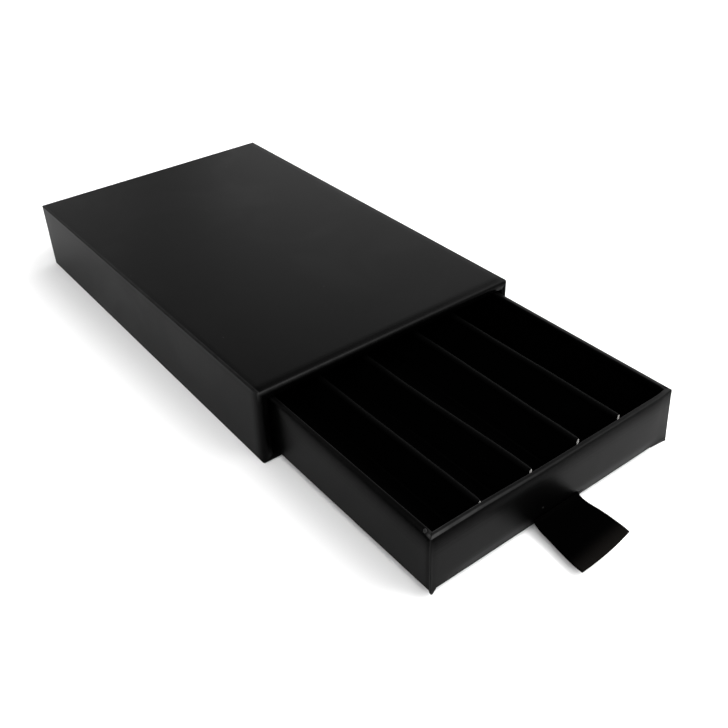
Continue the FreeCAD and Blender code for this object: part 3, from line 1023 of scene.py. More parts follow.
@dataclass(frozen=True)
class TrayWarp:
    """How the hand-made tray strays from true.

    Attributes:
        outer: the cover's box.
        bottom: the height of its underside.
        turn_in: the height at which its turned-in paper ends.
        bow: how far the top of the front wall leans out.
        bow_start: where, from the left, that begins and is whole.
        bow_end: how far from the right it begins to fade.
        wall: how deep the front wall's outer face and its inner face reach.
        rim: how far below the top the inner face begins to follow.
        fin: how far the foot of the right front corner stands out sideways.
        fin_width: how far along the front that reaches.
        fin_depth: how far back it begins to fade, and is gone.
        tilt: how far the top of the left front corner stands out sideways.
        tilt_reach: how far that reaches along the front and along the side.
    """

    outer: Extent
    bottom: float
    turn_in: float
    bow: float = 0.45 * MM
    bow_start: Pair = (-28 * MM, -3 * MM)
    bow_end: float = 6 * MM
    wall: Pair = (0.9 * MM, 1.7 * MM)
    rim: float = 0.8 * MM
    fin: float = 2.0 * MM
    fin_width: float = 5 * MM
    fin_depth: Pair = (0.15 * MM, 0.95 * MM)
    tilt: float = 0.25 * MM
    tilt_reach: Pair = (1 * MM, 2 * MM)

    def __call__(self, point: Vector) -> Vector:
        """Move a true point to where it is on the hand-made tray.

        Args:
            point: the true point.

        Returns:
            The moved point.
        """
        low, high = self.outer.low, self.outer.high
        depth = point.y - low.y
        rise = (point.z - self.bottom) / (high.z - self.bottom)
        moved = point.copy()
        if depth < self.wall[1]:
            across = ease(point.x, *self.bow_start) * ease(high.x - point.x, 0, self.bow_end)
            inner = ease(point.z, self.turn_in, high.z - self.rim)
            moved.y -= self.bow * across * (min(1.0, max(0.0, rise)) if depth < self.wall[0] else inner)
        corner = ease(point.x, high.x - self.fin_width, high.x) * (1 - ease(depth, *self.fin_depth))
        moved.x += self.fin * corner * max(0.0, 1 - rise)
        corner = (1 - ease(point.x - low.x, 0, self.tilt_reach[0])) * math.exp(-depth / self.tilt_reach[1])
        moved.x -= self.tilt * corner * max(0.0, rise)
        return moved


@dataclass(frozen=True)
class Ear:
    """A small end of folded paper below a front corner of the tray.

    Attributes:
        name: the piece's name.
        side: 1 at the right corner and -1 at the left one.
        width: how far it runs along the front.
        drop: how far it hangs below the tray.
        bend: how quickly its lower edge rises away from its tip.
        flare: how far its tip stands out sideways.
        tip: how far its tip is from the corner.
        back: how far it goes round the corner.
        proud: how far it stands off the cover.
        rounding: the round with which it goes round the corner.
        lap: how far it goes up the wall.
    """

    name: str
    side: int
    width: float
    drop: float
    bend: float
    flare: float = 0.0
    tip: float = 0.0
    back: float = 0.7 * MM
    proud: float = 0.02 * MM
    rounding: float = 0.3 * MM
    lap: float = 0.5 * MM


@dataclass
class Tray:
    """The tray's cover paper, its front board, and the paper ears below its front.

    Attributes:
        ears: the ears.
        paper: the paper's thickness.
        edge_round: the round of the upright and the lower edges.
        rim_round: the round of the rim's outer edge.
        inner_round: the round of the rim's inner edge.
        sag: how far the walls are drawn in below the rim.
        bead: the half sizes of the bead of doubled paper on the rim.
        bead_place: how far it is from the left and from the front.
        shoulder: how soft the wall's top looks, as distances from it in millimetres and leans in degrees.
        rim_leans: the same for the rim's flat, with how far each place is in and how far it dips.
        rub_and_highlight: how much every edge is lightened by rubbing, partly as a painted highlight.
        front_highlight: how much more the rim's front left is lightened, a painted highlight, and how far
            that reaches.
        corner_highlight: how much more the left front corner is lightened, a painted highlight, and how far
            that reaches.
        highlight_depth: how far back the first begins to fade, and is gone.
        highlight_drop: how far below the top both begin to fade, and are gone.
        soften: how much of the leans shows far from the left front corner, and how much more beside it.
        soften_reach: how far that reaches.
        tuck: how far the foot of the front wall looks drawn in, and over what height.
        tuck_left: how far from the left that begins, and is whole.
        tuck_right: the same from the right.
        tuck_depth: how far back it begins to fade, and is gone.
        slit_gap: how much wider than the ribbon its slit is, to each side.
        slit_rise: where the slit's foot and its top are, from the ribbon's top.
    """

    ears: tuple[Ear, ...] = (
        Ear("front_ear_left", -1, 1.5 * MM, 1.25 * MM, 1.05, tip=0.35 * MM, back=0.5 * MM),
        Ear("front_ear_right", 1, 4.4 * MM, 1.0 * MM, 1.2, flare=0.1 * MM),
    )
    paper: float = 0.12 * MM
    edge_round: float = 0.3 * MM
    rim_round: float = 0.45 * MM
    inner_round: float = 0.3 * MM
    sag: float = 0.05 * MM
    bead: Triple = (0.4 * MM, 0.5 * MM, 0.8 * MM)
    bead_place: Pair = (0.32 * MM, 2.45 * MM)
    shoulder: tuple[Pair, ...] = (
        (6.5, 0), (5.0, 4), (4.0, 8), (3.3, 12), (2.8, 17), (2.4, 22),
        (2.0, 27), (1.6, 31), (1.2, 35), (0.8, 40), (0.46, 45),
    )  # fmt: skip
    rim_leans: tuple[Triple, ...] = ((0.6, 0.01, -24), (0.76, 0.02, -17), (0.92, 0.02, -10), (1.08, 0.01, -3))
    # painted highlights: the brighter rim at the front left and the bright line on the left front corner take
    # the lighter edge colour, over slight rubbing on every edge
    rub_and_highlight: float = 0.28
    front_highlight: Pair = (0.55, 27 * MM)
    corner_highlight: Pair = (0.4, 2.2 * MM)
    highlight_depth: Pair = (1 * MM, 2 * MM)
    highlight_drop: Pair = (0.5 * MM, 1 * MM)
    soften: Pair = (0.5, 0.42)
    soften_reach: float = 32 * MM
    tuck: Pair = (0.42 * MM, 1.7 * MM)
    tuck_left: Pair = (1 * MM, 14 * MM)
    tuck_right: Pair = (1 * MM, 9 * MM)
    tuck_depth: Pair = (0.1 * MM, 0.3 * MM)
    slit_gap: float = 0.15 * MM
    slit_rise: Pair = (-0.45 * MM, 0.01 * MM)

    def build(self) -> Iterable[Piece]:
        """Make the tray's own pieces.

        Yields:
            Each finished piece.
        """
        yield self.wrap()
        yield self.front_board()
        yield self.doubled_paper()
        for ear in self.ears:
            yield self.corner_ear(ear)

    def warp(self) -> TrayWarp:
        """The tray's own departures from true.

        Returns:
            The move from the true tray to the hand-made one.
        """
        outer = Extent.of("tray_wrap")
        base = Extent.of("tray_base_board")
        return TrayWarp(outer, base.low.z - (base.low.x - outer.low.x), Extent.of("tray_lining").high.z)

    def front_board(self) -> Piece:
        """The front wall's board, which follows the cover paper.

        Returns:
            The finished piece.
        """
        box, warp = Extent.of("tray_front_board"), self.warp()
        low, high = box.low, box.high
        points: list[Vector] = []
        for x in [low.x, *spread(low.x, high.x, 40)]:
            for y, z in ((low.y, low.z), (high.y, low.z), (high.y, high.z), (low.y, high.z)):
                points.append(Vector((x, y + warp(Vector((x, low.y, z))).y - low.y, z)))
        last = len(points) - 4
        faces = [(0, 1, 2, 3), tuple(last + i for i in (3, 2, 1, 0)), *grid(len(points) // 4, 4, closed=True)]
        piece = new_piece("front_wall_board", skin("front_wall_board", points, faces, smooth=False))
        return settle(piece, Body.DRAWER, Slot.GREYBOARD, "tray_front_board")

    def doubled_paper(self) -> Piece:
        """The bead of doubled paper on the rim, beside the left front corner.

        Returns:
            The finished piece.
        """
        outer = Extent.of("tray_wrap")
        centre = Vector((outer.low.x + self.bead_place[0], outer.low.y + self.bead_place[1], outer.high.z))
        rings, sides = 9, 16
        points: list[Vector] = []
        for ring in range(rings):
            fall = math.pi * (ring + 0.5) / rings
            for i in range(sides):
                turn = 2 * math.pi * i / sides
                unit = (math.sin(fall) * math.cos(turn), math.sin(fall) * math.sin(turn), math.cos(fall))
                points.append(centre + Vector([size * share for size, share in zip(self.bead, unit)]))
        caps = [tuple(reversed(range(sides))), tuple(range((rings - 1) * sides, rings * sides))]
        # the bead takes the lighter edge colour, partly a painted highlight
        layers = {"edge": [0.9] * len(points), "loft": [0.0] * len(points)}
        mesh = skin("doubled_paper", points, caps + grid(rings, sides, closed=True), **layers)
        return settle(new_piece("doubled_paper", mesh), Body.DRAWER, Slot.COVER)

    def corner_ear(self, ear: Ear) -> Piece:
        """The end of the folded paper that stands out below a front corner.

        Args:
            ear: its form.

        Returns:
            The finished piece.
        """
        warp = self.warp()
        outer, bottom, side = warp.outer, warp.bottom, ear.side
        corner = outer.high.x if side > 0 else outer.low.x
        proud, rounding = ear.proud, ear.rounding
        quarter = rounding * math.pi / 2
        columns: list[Triple] = []
        for out in [ear.back, *spread(ear.back, rounding, 4)[:-1]]:
            columns.append((corner + side * proud, outer.low.y + out, out - rounding + quarter))
        for share in [0.0, *spread(0.0, 1.0, 6)]:
            angle = math.pi / 2 * share
            x = corner - side * rounding + side * (rounding + proud) * math.cos(angle)
            y = outer.low.y + rounding - (rounding + proud) * math.sin(angle)
            columns.append((x, y, quarter * (1 - share)))
        for run in spread(0.0, ear.width, 24):
            columns.append((corner - side * (rounding + run), outer.low.y - proud, -run))
        rows = 8
        points: list[Vector] = []
        for x, y, run in columns:
            away = run + ear.tip
            share = min(max(0.0, 1 + away / (ear.width - ear.tip)), 1 - 0.8 * max(0.0, away) / MM)
            if run >= 0:
                share = max(0.0, share * (1 - run / (ear.back * 1.1))) ** 0.5
            top, low = bottom + ear.lap, bottom - ear.drop * share**ear.bend
            for z in [top, *spread(top, low, rows)]:
                flare = ear.flare * max(0.0, (bottom - z) / ear.drop) ** 2
                points.append(warp(Vector((x + side * flare, y - flare * 0.3, z))))
        layers = {"edge": [0.3] * len(points)}
        mesh = skin(ear.name, points, grid(len(columns), rows + 1), way=Vector((0, -1, 0)), **layers)
        return settle(thickened(ear.name, mesh, self.paper), Body.DRAWER, Slot.COVER)

    def wrap(self) -> Piece:
        """The cover paper, from the underside over the rim to the end of its turn-in.

        Returns:
            The finished piece.
        """
        warp = self.warp()
        outer, bottom, front = warp.outer, warp.bottom, warp.outer.low.y
        lining = Extent.of("tray_lining")
        ribbon = Extent.of("ribbon_pull")
        slit_x = (ribbon.low.x - self.slit_gap, ribbon.high.x + self.slit_gap)
        slit_z = tuple(ribbon.high.z + rise for rise in self.slit_rise)

        def away(point: Vector) -> float:
            """How far a point is from the left front corner."""
            return math.hypot(point.x - outer.low.x, point.y - front)

        def rubbed_and_highlit(point: Vector) -> float:
            """How much an edge is lightened, by rubbing and by painted highlights: most at the left of the
            front.

            Args:
                point: the place.

            Returns:
                The lightening, from 0 to 1.
            """
            on_rim = 1 - ease(outer.high.z - point.z, *self.highlight_drop)
            in_front = 1 - ease(point.y - front, *self.highlight_depth)
            along = self.front_highlight[0] * in_front * bell(point.x - outer.low.x, self.front_highlight[1])
            corner = self.corner_highlight[0] * bell(away(point), self.corner_highlight[1])
            return min(1.0, self.rub_and_highlight + on_rim * (along + corner))

        def soft(point: Vector) -> float:
            """How soft the rim is: less so away from the left front corner."""
            return self.soften[0] + self.soften[1] * bell(away(point), self.soften_reach)

        def tucked(point: Vector) -> float:
            """How far the foot of the front wall looks drawn in, between its corners.

            Args:
                point: the place.

            Returns:
                The depth.
            """
            along = ease(point.x - outer.low.x, *self.tuck_left)
            along *= ease(outer.high.x - point.x, *self.tuck_right)
            in_front = 1 - ease(point.y - front, *self.tuck_depth)
            return self.tuck[0] * along * in_front * bell(point.z - bottom, self.tuck[1])

        def in_slit(middle: Vector) -> bool:
            """Whether a face lies where the ribbon comes out."""
            across, up = slit_x[0] < middle.x < slit_x[1], slit_z[0] < middle.z < slit_z[1]
            return across and up and middle.y < front + self.paper

        marks = ((Side.LOW, slit_x[0]), (Side.LOW, slit_x[1]))
        inside = lining.low.x - outer.low.x + self.paper
        shell = Shell(
            loop=Loop(tuple(outer.low.xy), tuple(outer.high.xy), self.edge_round, marks, pitch=3 * MM),
            profile=self.profile(bottom, outer.high.z, inside, slit_z, lining.high.z),
            place=lambda a, b, height: Vector((a, b, height)),
            ridge=0.05 * MM,
            ridge_width=0.2 * MM,
            soft_depth=0.32 * MM,
            soft_width=1.1 * MM,
            soft_sides=(1.5, 0.3),
            corner_wear_and_highlight=0.5,
            wear_and_highlight=rubbed_and_highlit,
            softness=soft,
            dent=tucked,
            hole=in_slit,
            nudge=warp,
        )
        piece = thickened("tray_cover", shell.mesh("tray_cover"), self.paper)
        return settle(piece, Body.DRAWER, Slot.COVER, "tray_wrap")

    def profile(self, bottom: float, top: float, inside: float, marks: Pair, turn_in: float) -> list[Step]:
        """The stages of the cover paper.

        Args:
            bottom: the underside's height.
            top: the rim's height.
            inside: the inset of the tray's inner face.
            marks: two further heights.
            turn_in: the height at which the turned-in paper ends.

        Returns:
            The steps, from the underside up, over the rim and down inside.
        """
        low, rim, lip = self.edge_round, self.rim_round, self.inner_round
        steps = [Step(2.5 * MM, bottom, open=0.0), Step(1 * MM, bottom, open=0.0)]
        steps += arc((low, bottom + low), low, (270, 180))
        heights = spread(bottom + low, top - 7 * MM, 6) + list(marks)
        heights += [bottom + low + gap * MM for gap in (0.25, 0.6, 1.0, 1.9, 2.5, 3.2)]
        steps += [Step(self.sag * min(1.0, (h - bottom) / (2 * MM)), h) for h in sorted(heights)]
        for gap, lean in self.shoulder:
            steps.append(Step(self.sag * ease(gap, 0.8, 2.6), top - gap * MM, lean=lean))
        steps += arc((rim, top - rim), rim, (180, 90), steps=8, lean=(self.shoulder[-1][1], -30))
        steps += [Step(gap * MM, top - dip * MM, edge=0.5, lean=lean) for gap, dip, lean in self.rim_leans]
        steps += arc((inside - lip, top - lip), lip, (90, 0), ridges=(1, 0))
        return steps + [Step(inside, top - 1 * MM, open=0.0), Step(inside, turn_in, open=0.0)]


@dataclass
class Insert:
    """The folded card: a flat sheet with four upright folds, open at their ends.

    Attributes:
        card: the card's thickness.
        gap: the slit inside each fold.
        slack: how far the folds stay below the node's top.
        channels: the widths of the channels before each fold, from the left.
        ends: how far each fold's front end is behind the card's.
        leans: how far each fold's top leans to the right, in front and at the back.
        lean_reach: how far from the front the lean changes.
        flare: the round at a fold's foot.
        foot_rise: how much of that round's height its inner side has.
        pinch: how much narrower a fold is at its ends.
        pinch_reach: how far from its ends it is pinched.
        bulb: how much wider than the fold its closed top is, to each side.
        bulb_turn: the angles between which that top is round, in degrees.
        near: how far from a fold's ends its closer stations are, in millimetres.
        wave: how far a fold's ridge wanders.
        seed: which wandering it has.
    """

    card: float = 0.35 * MM
    gap: float = 0.2 * MM
    slack: float = 0.65 * MM
    channels: tuple[float, ...] = (14.9 * MM, 14.8 * MM, 17.4 * MM, 14.1 * MM)
    ends: tuple[float, ...] = (0.5 * MM, 0.56 * MM, 0.84 * MM, 0.7 * MM)
    leans: tuple[tuple[float, ...], ...] = (
        (0.6 * MM, 1.8 * MM, 0.4 * MM, 0.65 * MM),
        (0.3 * MM, 0.35 * MM, 0.7 * MM, 0.5 * MM),
    )
    lean_reach: float = 50 * MM
    flare: float = 0.3 * MM
    foot_rise: float = 0.6
    pinch: float = 0.55
    pinch_reach: float = 0.6 * MM
    bulb: float = 0.42 * MM
    bulb_turn: Pair = (220, -40)
    near: tuple[float, ...] = (0, 0.2, 0.4, 0.65, 1, 1.6, 2.4, 3.5)
    wave: float = 0.35 * MM
    seed: int = 4

    def build(self) -> Iterable[Piece]:
        """Make the insert.

        Yields:
            The finished piece.
        """
        box = Extent.of("divider_insert")
        fold = new_piece("fold_template", self.fold_mesh(box))
        roots = new_piece("fold_roots", self.roots_mesh(box))
        piece = new_piece("folded_card", self.sheet_mesh(box))
        inputs = {
            "Fold": ("Object", fold),
            "Roots": ("Object", roots),
            "Wave": ("Float", self.wave),
            "Front": ("Float", box.low.y),
            "Reach": ("Float", self.lean_reach),
            "Foot": ("Float", box.low.z),
            "Height": ("Float", box.high.z - box.low.z - self.slack),
            "Seed": ("Int", self.seed),
            "Card": ("Material", FINISHES[Slot.CARD].material()),
        }
        modifier = piece.modifiers.new("folds", "NODES")
        modifier.node_group = self.fold_tree({label: kind for label, (kind, _) in inputs.items()})
        for item in modifier.node_group.interface.items_tree:
            if item.name in inputs:
                modifier[item.identifier] = inputs[item.name][1]
        applied(piece)
        for helper in (fold, roots):
            bpy.data.objects.remove(helper)
        self.bare_ends(piece.data, box.low.z + self.card)
        yield settle(piece, Body.DRAWER, Slot.CARD, "divider_insert")

    def strips(self, box: Extent) -> list[Pair]:
        """Where the flat strips between the folds start and end.

        Args:
            box: the node's box.

        Returns:
            Their left and right sides, one strip for each channel.
        """
        fold = 2 * self.card + self.gap
        found: list[Pair] = []
        left = box.low.x
        for width in (*self.channels, box.high.x - box.low.x - sum(self.channels) - 4 * fold):
            found.append((left, left + width))
            left += width + fold
        return found

    def sheet_mesh(self, box: Extent) -> Mesh:
        """The flat card between the folds.

        Args:
            box: the node's box.

        Returns:
            The mesh.
        """
        points: list[Triple] = []
        faces: Faces = []
        quads = ((3, 2, 1, 0), (4, 5, 6, 7), (0, 1, 5, 4), (1, 2, 6, 5), (2, 3, 7, 6), (3, 0, 4, 7))
        for left, right in self.strips(box):
            faces += [tuple(len(points) + corner for corner in quad) for quad in quads]
            outline = ((left, box.low.y), (right, box.low.y), (right, box.high.y), (left, box.high.y))
            points += [(x, y, z) for z in (box.low.z, box.low.z + self.card) for x, y in outline]
        return plain_mesh("folded_card", points, faces)

    def roots_mesh(self, box: Extent) -> Mesh:
        """The foot of each fold, as a point at its front end.

        Args:
            box: the node's box.

        Returns:
            The mesh, which carries each fold's leans.
        """
        half = self.card + self.gap / 2
        places = zip(self.strips(box), self.ends)
        points = [(right + half, box.low.y + back, box.low.z) for (_, right), back in places]
        return plain_mesh("fold_roots", points, [], lean_front=self.leans[0], lean_back=self.leans[1])

    def section(self, height: float) -> tuple[list[Pair], list[Pair]]:
        """The section of a fold.

        Args:
            height: how high it is.

        Returns:
            Its outer and inner outline, point for point, from its left foot to its right foot.
        """
        outer_x, inner_x = self.card + self.gap / 2, self.gap / 2
        top, foot = height - outer_x, self.card + self.flare
        outer = [(-outer_x - self.flare, self.card)]
        inner = [(-outer_x - self.flare, 0.0)]
        for step in range(1, 5):
            angle = math.pi / 2 * step / 4
            out = self.flare * (1 - math.sin(angle))
            z = self.card + self.flare * (1 - math.cos(angle))
            outer.append((-outer_x - out, z))
            inner.append((-inner_x - out / 2, z * self.foot_rise))
        for share in (0.2, 0.4, 0.6, 0.85):
            z = foot + (top - foot) * share
            outer.append((-outer_x, z))
            inner.append((-inner_x, z))
        half = len(outer)
        wide, centre = outer_x + self.bulb, top - self.bulb
        for degrees in [self.bulb_turn[0], *spread(*self.bulb_turn, 12)]:
            unit = (math.cos(math.radians(degrees)), math.sin(math.radians(degrees)))
            outer.append((wide * unit[0], centre + wide * unit[1]))
            inner.append(((wide - self.card) * unit[0], centre + (wide - self.card) * unit[1]))
        for outline in (outer, inner):
            outline += [(-x, z) for x, z in reversed(outline[:half])]
        return outer, inner

    def fold_mesh(self, box: Extent) -> Mesh:
        """One fold, from its front end along +Y, standing on the origin.

        Args:
            box: the node's box.

        Returns:
            The mesh.
        """
        outer, inner = self.section(box.high.z - box.low.z - self.slack)
        length = box.high.y - box.low.y - max(self.ends)
        near = [gap * MM for gap in self.near]
        places = [*near, 5 * MM, *spread(5 * MM, length - 5 * MM, 70)]
        places += [length - gap for gap in reversed(near)]
        size = 2 * len(outer)
        points: list[Triple] = []
        for place in places:
            pinched = bell(min(place, length - place), self.pinch_reach)
            points += [(x * (1 - self.pinch * pinched), place, z) for x, z in outer]
            points += [(x * (1 - pinched), place, z) for x, z in inner[::-1]]
        faces = grid(len(places), size, closed=True)
        for first, way in ((0, 1), ((len(places) - 1) * size, -1)):
            for i in range(len(outer) - 1):
                corners = (i, i + 1, size - 2 - i, size - 1 - i)
                faces.append(tuple(first + corner for corner in corners[::way]))
        return plain_mesh("fold", points, faces)

    def fold_tree(self, inputs: dict[str, str]) -> bpy.types.NodeTree:
        """Geometry nodes that stand a fold on each root, lean it and let its ridge wander.

        Args:
            inputs: the kind of each of its inputs, by name.

        Returns:
            The node tree.
        """
        tree = bpy.data.node_groups.new("stand_folds", "GeometryNodeTree")
        for label, kind in {"Geometry": "Geometry", **inputs}.items():
            tree.interface.new_socket(label, in_out="INPUT", socket_type=f"NodeSocket{kind}")
        tree.interface.new_socket("Geometry", in_out="OUTPUT", socket_type="NodeSocketGeometry")
        graph = Graph(tree)
        given = graph.add("NodeGroupInput").outputs
        fold, roots = (
            graph.add("GeometryNodeObjectInfo", {"Object": given[label]}).outputs["Geometry"]
            for label in ("Fold", "Roots")
        )
        stood = graph.add("GeometryNodeInstanceOnPoints", {"Points": roots, "Instance": fold}).outputs[0]
        solid = graph.add("GeometryNodeRealizeInstances", {0: stood}).outputs[0]
        place = graph.add("GeometryNodeInputPosition").outputs[0]
        split = graph.add("ShaderNodeSeparateXYZ", {0: place}).outputs
        share = graph.math("DIVIDE", graph.math("SUBTRACT", split[2], given["Foot"]), given["Height"])
        along = graph.math("DIVIDE", graph.math("SUBTRACT", split[1], given["Front"]), given["Reach"])
        leans = (
            graph.add("GeometryNodeInputNamedAttribute", {"Name": name}, data_type="FLOAT").outputs[0]
            for name in ("lean_front", "lean_back")
        )
        lean = graph.ramp(along, 0.0, 1.0, *leans)
        wander = {"Vector": place, "W": given["Seed"], "Scale": 70.0, "Detail": 2.0}
        noise = graph.add("ShaderNodeTexNoise", wander, noise_dimensions="4D").outputs[0]
        wave = graph.math("MULTIPLY", graph.math("SUBTRACT", noise, 0.5), given["Wave"])
        sideways = graph.math("MULTIPLY", graph.math("ADD", lean, wave), share)
        upward = graph.math("MULTIPLY", graph.math("MULTIPLY", wave, share), 0.4)
        offset = graph.add("ShaderNodeCombineXYZ", {"X": sideways, "Z": upward}).outputs[0]
        moved = graph.add("GeometryNodeSetPosition", {"Geometry": solid, "Offset": offset}).outputs[0]
        joined = graph.add("GeometryNodeJoinGeometry")
        for part in (given["Geometry"], moved):
            tree.links.new(part, joined.inputs[0])
        whole = graph.add("GeometryNodeRealizeInstances", {0: joined.outputs[0]}).outputs[0]
        painted = graph.add("GeometryNodeSetMaterial", {"Geometry": whole, "Material": given["Card"]})
        graph.add("NodeGroupOutput", {0: painted.outputs[0]})
        return tree

    def bare_ends(self, mesh: Mesh, foot: float) -> None:
        """Show the card's pale core on the cut ends of its folds.

        Args:
            mesh: the whole insert.
            foot: the height of the flat card's top.
        """
        mesh.materials.clear()
        for finish in (FINISHES[Slot.CARD], CARD_CORE):
            mesh.materials.append(finish.material())
        for face in mesh.polygons:
            cut = abs(face.normal.y) > 0.9
            face.use_smooth = not cut
            face.material_index = int(cut and face.center.z > foot)


@dataclass
class Ribbon:
    """The ribbon pull: level in its slit, then twisted, with its end in the air.

    Attributes:
        thickness: the ribbon's thickness.
        left: the run of its left selvedge outside the face, as distance out, sideways shift and height.
        right: the run of its right selvedge.
        lift: how far the left and the right selvedge rise above that run at the tip, in millimetres.
        lift_band: how far out the rise begins, and is whole, in millimetres.
        drift: how far the ribbon goes out and sideways for each millimetre that it rises so.
        reach: about how far out its tip is.
        crown: how far its middle is bowed up halfway out, and at its tip.
        end_bow: how far the middle of its cut end stands out.
        rows: how many parts it has along its length.
        columns: how many parts it has across.
    """

    thickness: float = 0.3 * MM
    left: tuple[Triple, ...] = (
        (0, 0, 3.85), (0.35, -0.02, 3.4), (0.9, -0.12, 3.08), (1.8, -0.3, 2.84), (3.2, -0.42, 2.5),
        (5, -0.47, 2.08), (7, -0.5, 1.6), (9, -0.55, 1.16), (12, -0.65, 0.68), (14.5, -0.75, 0.48),
        (16.6, -0.8, 0.6),
    )  # fmt: skip
    right: tuple[Triple, ...] = (
        (0, 0, 3.85), (0.35, 0, 3.5), (0.9, 0, 3.15), (1.8, 0, 2.9), (3.2, 0, 2.83), (5, 0, 2.94),
        (7, 0, 3.13), (9, 0, 3.2), (12, 0, 3.15), (14.5, 0, 3.05), (16.4, -0.1, 2.9),
    )  # fmt: skip
    lift: Pair = (1.6, 2.6)
    lift_band: Pair = (1.5, 14.5)
    drift: Pair = (0.526, -0.827)
    reach: float = 17.5 * MM
    crown: Pair = (1.3 * MM, 0.2 * MM)
    end_bow: float = 0.6 * MM
    rows: int = 72
    columns: int = 28

    def build(self) -> Iterable[Piece]:
        """Make the ribbon.

        Yields:
            The finished piece.
        """
        box = Extent.of("ribbon_pull")
        face = Extent.of("tray_wrap").low.y
        width = box.high.x - box.low.x
        left = self.run(box.low.x, face, box, self.left, self.lift[0])
        right = self.run(box.high.x, face, box, self.right, self.lift[1])
        points: list[Vector] = []
        flat: list[Pair] = []
        length = 0.0
        for row in range(self.rows + 1):
            down = row / self.rows
            start, end = self.at(left, down), self.at(right, down)
            if row:
                length += ((start + end) / 2 - (points[-self.columns - 1] + points[-1]) / 2).length
            away = min(1.0, max(0.0, (face - start.y) / self.reach))
            rise = self.crown[0] * math.sin(math.pi * away**0.8) + self.crown[1] * away
            for column in range(self.columns + 1):
                share = column / self.columns
                bowed = Vector((0, -self.end_bow * down**4, rise)) * (4 * share * (1 - share))
                points.append(start.lerp(end, share) + bowed)
                flat.append((share * width, length))
        mesh = skin("ribbon", points, grid(self.rows + 1, self.columns + 1), way=Vector((0, 0, 1)))
        layer = mesh.uv_layers.new(name="weave")
        for loop in mesh.loops:
            layer.data[loop.index].uv = flat[loop.vertex_index]
        piece = settle(thickened("ribbon", mesh, self.thickness), Body.DRAWER, Slot.RIBBON, "ribbon_pull")
        yield piece

    def run(
        self, x: float, face: float, box: Extent, outside: Sequence[Triple], lift: float
    ) -> list[Vector]:
        """The points of one selvedge, from the tail to the tip.

        Args:
            x: its place across the tray.
            face: the tray's front face.
            box: the node's box, at whose back the tail ends.
            outside: its run outside the face, in millimetres.
            lift: how far it rises above that run at the tip, in millimetres.

        Returns:
            The points.
        """
        tail, level = box.high.y, box.high.z - 0.02 * MM
        points = [Vector((x, tail + (face - tail) * share, level)) for share in (0.0, 0.3, 0.6, 0.9)]
        for out, shift, z in outside:
            rise = lift * ease(out, *self.lift_band)
            place = (shift + rise * self.drift[1], -out - rise * self.drift[0], z + rise)
            points.append(Vector((x, face, 0)) + Vector(place) * MM)
        return points

    def at(self, points: Sequence[Vector], share: float) -> Vector:
        """A place along a smooth line through points.

        Args:
            points: the points.
            share: how far along their row it is, from 0 to 1.

        Returns:
            The place.
        """
        where = share * (len(points) - 1)
        i = min(int(where), len(points) - 2)
        t = where - i
        start, end = points[i], points[i + 1]
        pull_in = (end - points[max(i - 1, 0)]) / 2
        pull_out = (points[min(i + 2, len(points) - 1)] - start) / 2
        line = start * (2 * t**3 - 3 * t**2 + 1) + end * (3 * t**2 - 2 * t**3)
        return line + pull_in * (t**3 - 2 * t**2 + t) + pull_out * (t**3 - t**2)


# ---------------------------------------------------------------- studio


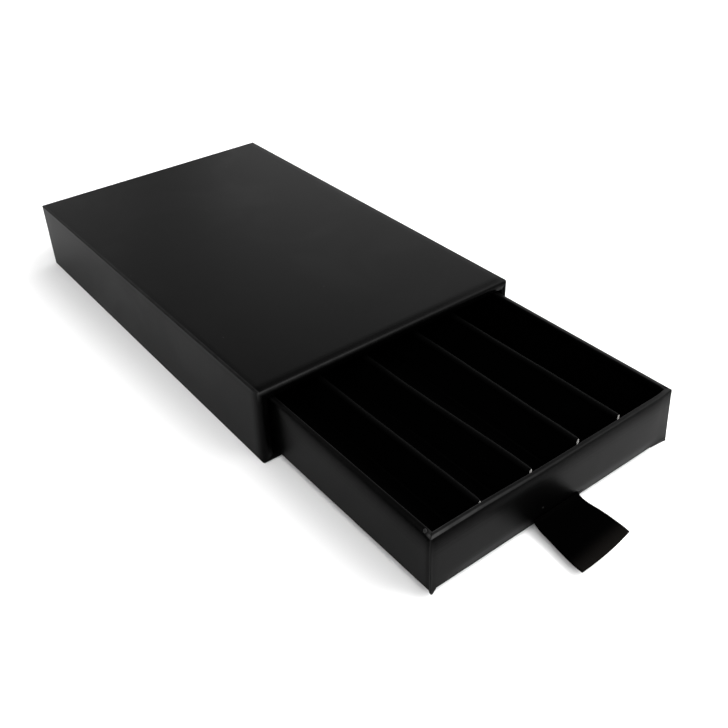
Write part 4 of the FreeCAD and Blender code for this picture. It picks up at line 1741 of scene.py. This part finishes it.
@dataclass
class Studio:
    """The table, the camera and the lights.

    Attributes:
        table_half: half the table's side.
        table_drop: how far the table is below the box.
        eye: where the camera stands.
        right: the way to the right of the picture.
        forward: the way that the camera looks.
        lens: the lens, for a sensor 36 mm wide.
        surroundings: how bright the room is.
        lamps: square soft lights round the table, turned to its middle, each with its place and its power.
        lamp_size: the side of each soft light.
    """

    table_half: float = 4.0
    table_drop: float = 0.02 * MM
    eye: Triple = (-0.134629, -0.238981, 0.166433)
    right: Triple = (0.78991, -0.61269, -0.02573)
    forward: Triple = (0.48593, 0.65098, -0.58318)
    lens: float = 45.047
    surroundings: float = 0.255
    lamps: tuple[tuple[Triple, float], ...] = (
        ((0.6, -0.6, 0.85), 13.5),
        ((0.0, -0.85, 0.85), 8.7),
        ((-0.6, -0.6, 0.85), 7.6),
        ((1.1, 0.0, 0.45), 9.5),
        ((0.8, 0.8, 0.45), 3.3),
        ((0.0, 1.1, 0.45), 2.1),
        ((0.85, 0.0, 0.85), 2.2),
    )
    lamp_size: float = 0.8

    def build(self) -> None:
        """Set the stage."""
        self.table()
        self.camera()
        self.light()

    def table(self) -> None:
        """A wide pale table under the box."""
        half, drop = self.table_half, self.table_drop
        corners = [(-half, -half, -drop), (half, -half, -drop), (half, half, -drop), (-half, half, -drop)]
        mesh = plain_mesh("table", corners, [(0, 1, 2, 3)])
        mesh.materials.append(TABLETOP.material())
        new_piece("table", mesh)

    def camera(self) -> None:
        """The camera, at the height and turn from which the box is seen."""
        lens = bpy.data.cameras.new("camera")
        lens.lens = self.lens
        lens.sensor_width = 36.0
        lens.clip_start = 0.01
        camera = bpy.data.objects.new("camera", lens)
        right, back = Vector(self.right).normalized(), -Vector(self.forward).normalized()
        turned = Matrix((right, back.cross(right).normalized(), back)).transposed().to_4x4()
        camera.matrix_world = Matrix.Translation(self.eye) @ turned
        bpy.context.scene.collection.objects.link(camera)
        bpy.context.scene.camera = camera

    def light(self) -> None:
        """Soft lights and an even room."""
        for number, (place, power) in enumerate(self.lamps, 1):
            lamp = bpy.data.lights.new(f"softbox_{number}", "AREA")
            lamp.size = self.lamp_size
            lamp.energy = power
            holder = bpy.data.objects.new(lamp.name, lamp)
            holder.location = place
            holder.rotation_euler = (-Vector(place)).to_track_quat("-Z", "Y").to_euler()
            bpy.context.scene.collection.objects.link(holder)
        room = bpy.data.worlds.new("room")
        room.use_nodes = True
        background = room.node_tree.nodes["Background"]
        background.inputs["Color"].default_value = (1.0, 1.0, 1.0, 1.0)
        background.inputs["Strength"].default_value = self.surroundings
        bpy.context.scene.world = room
        bpy.context.scene.view_settings.view_transform = "Standard"


def main() -> None:
    """Build the stage, then every assembly in order."""
    logging.basicConfig(level=logging.INFO, format="%(name)s: %(message)s")
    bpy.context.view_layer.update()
    Studio().build()
    LOG.info("dressed nodes: %d", len(dress_nodes()))
    for assembly in (Sleeve(), Tray(), Insert(), Ribbon()):
        for piece in assembly.build():
            LOG.info("%s: %d faces", piece.name, len(piece.data.polygons))


if __name__ == "__main__":
    main()
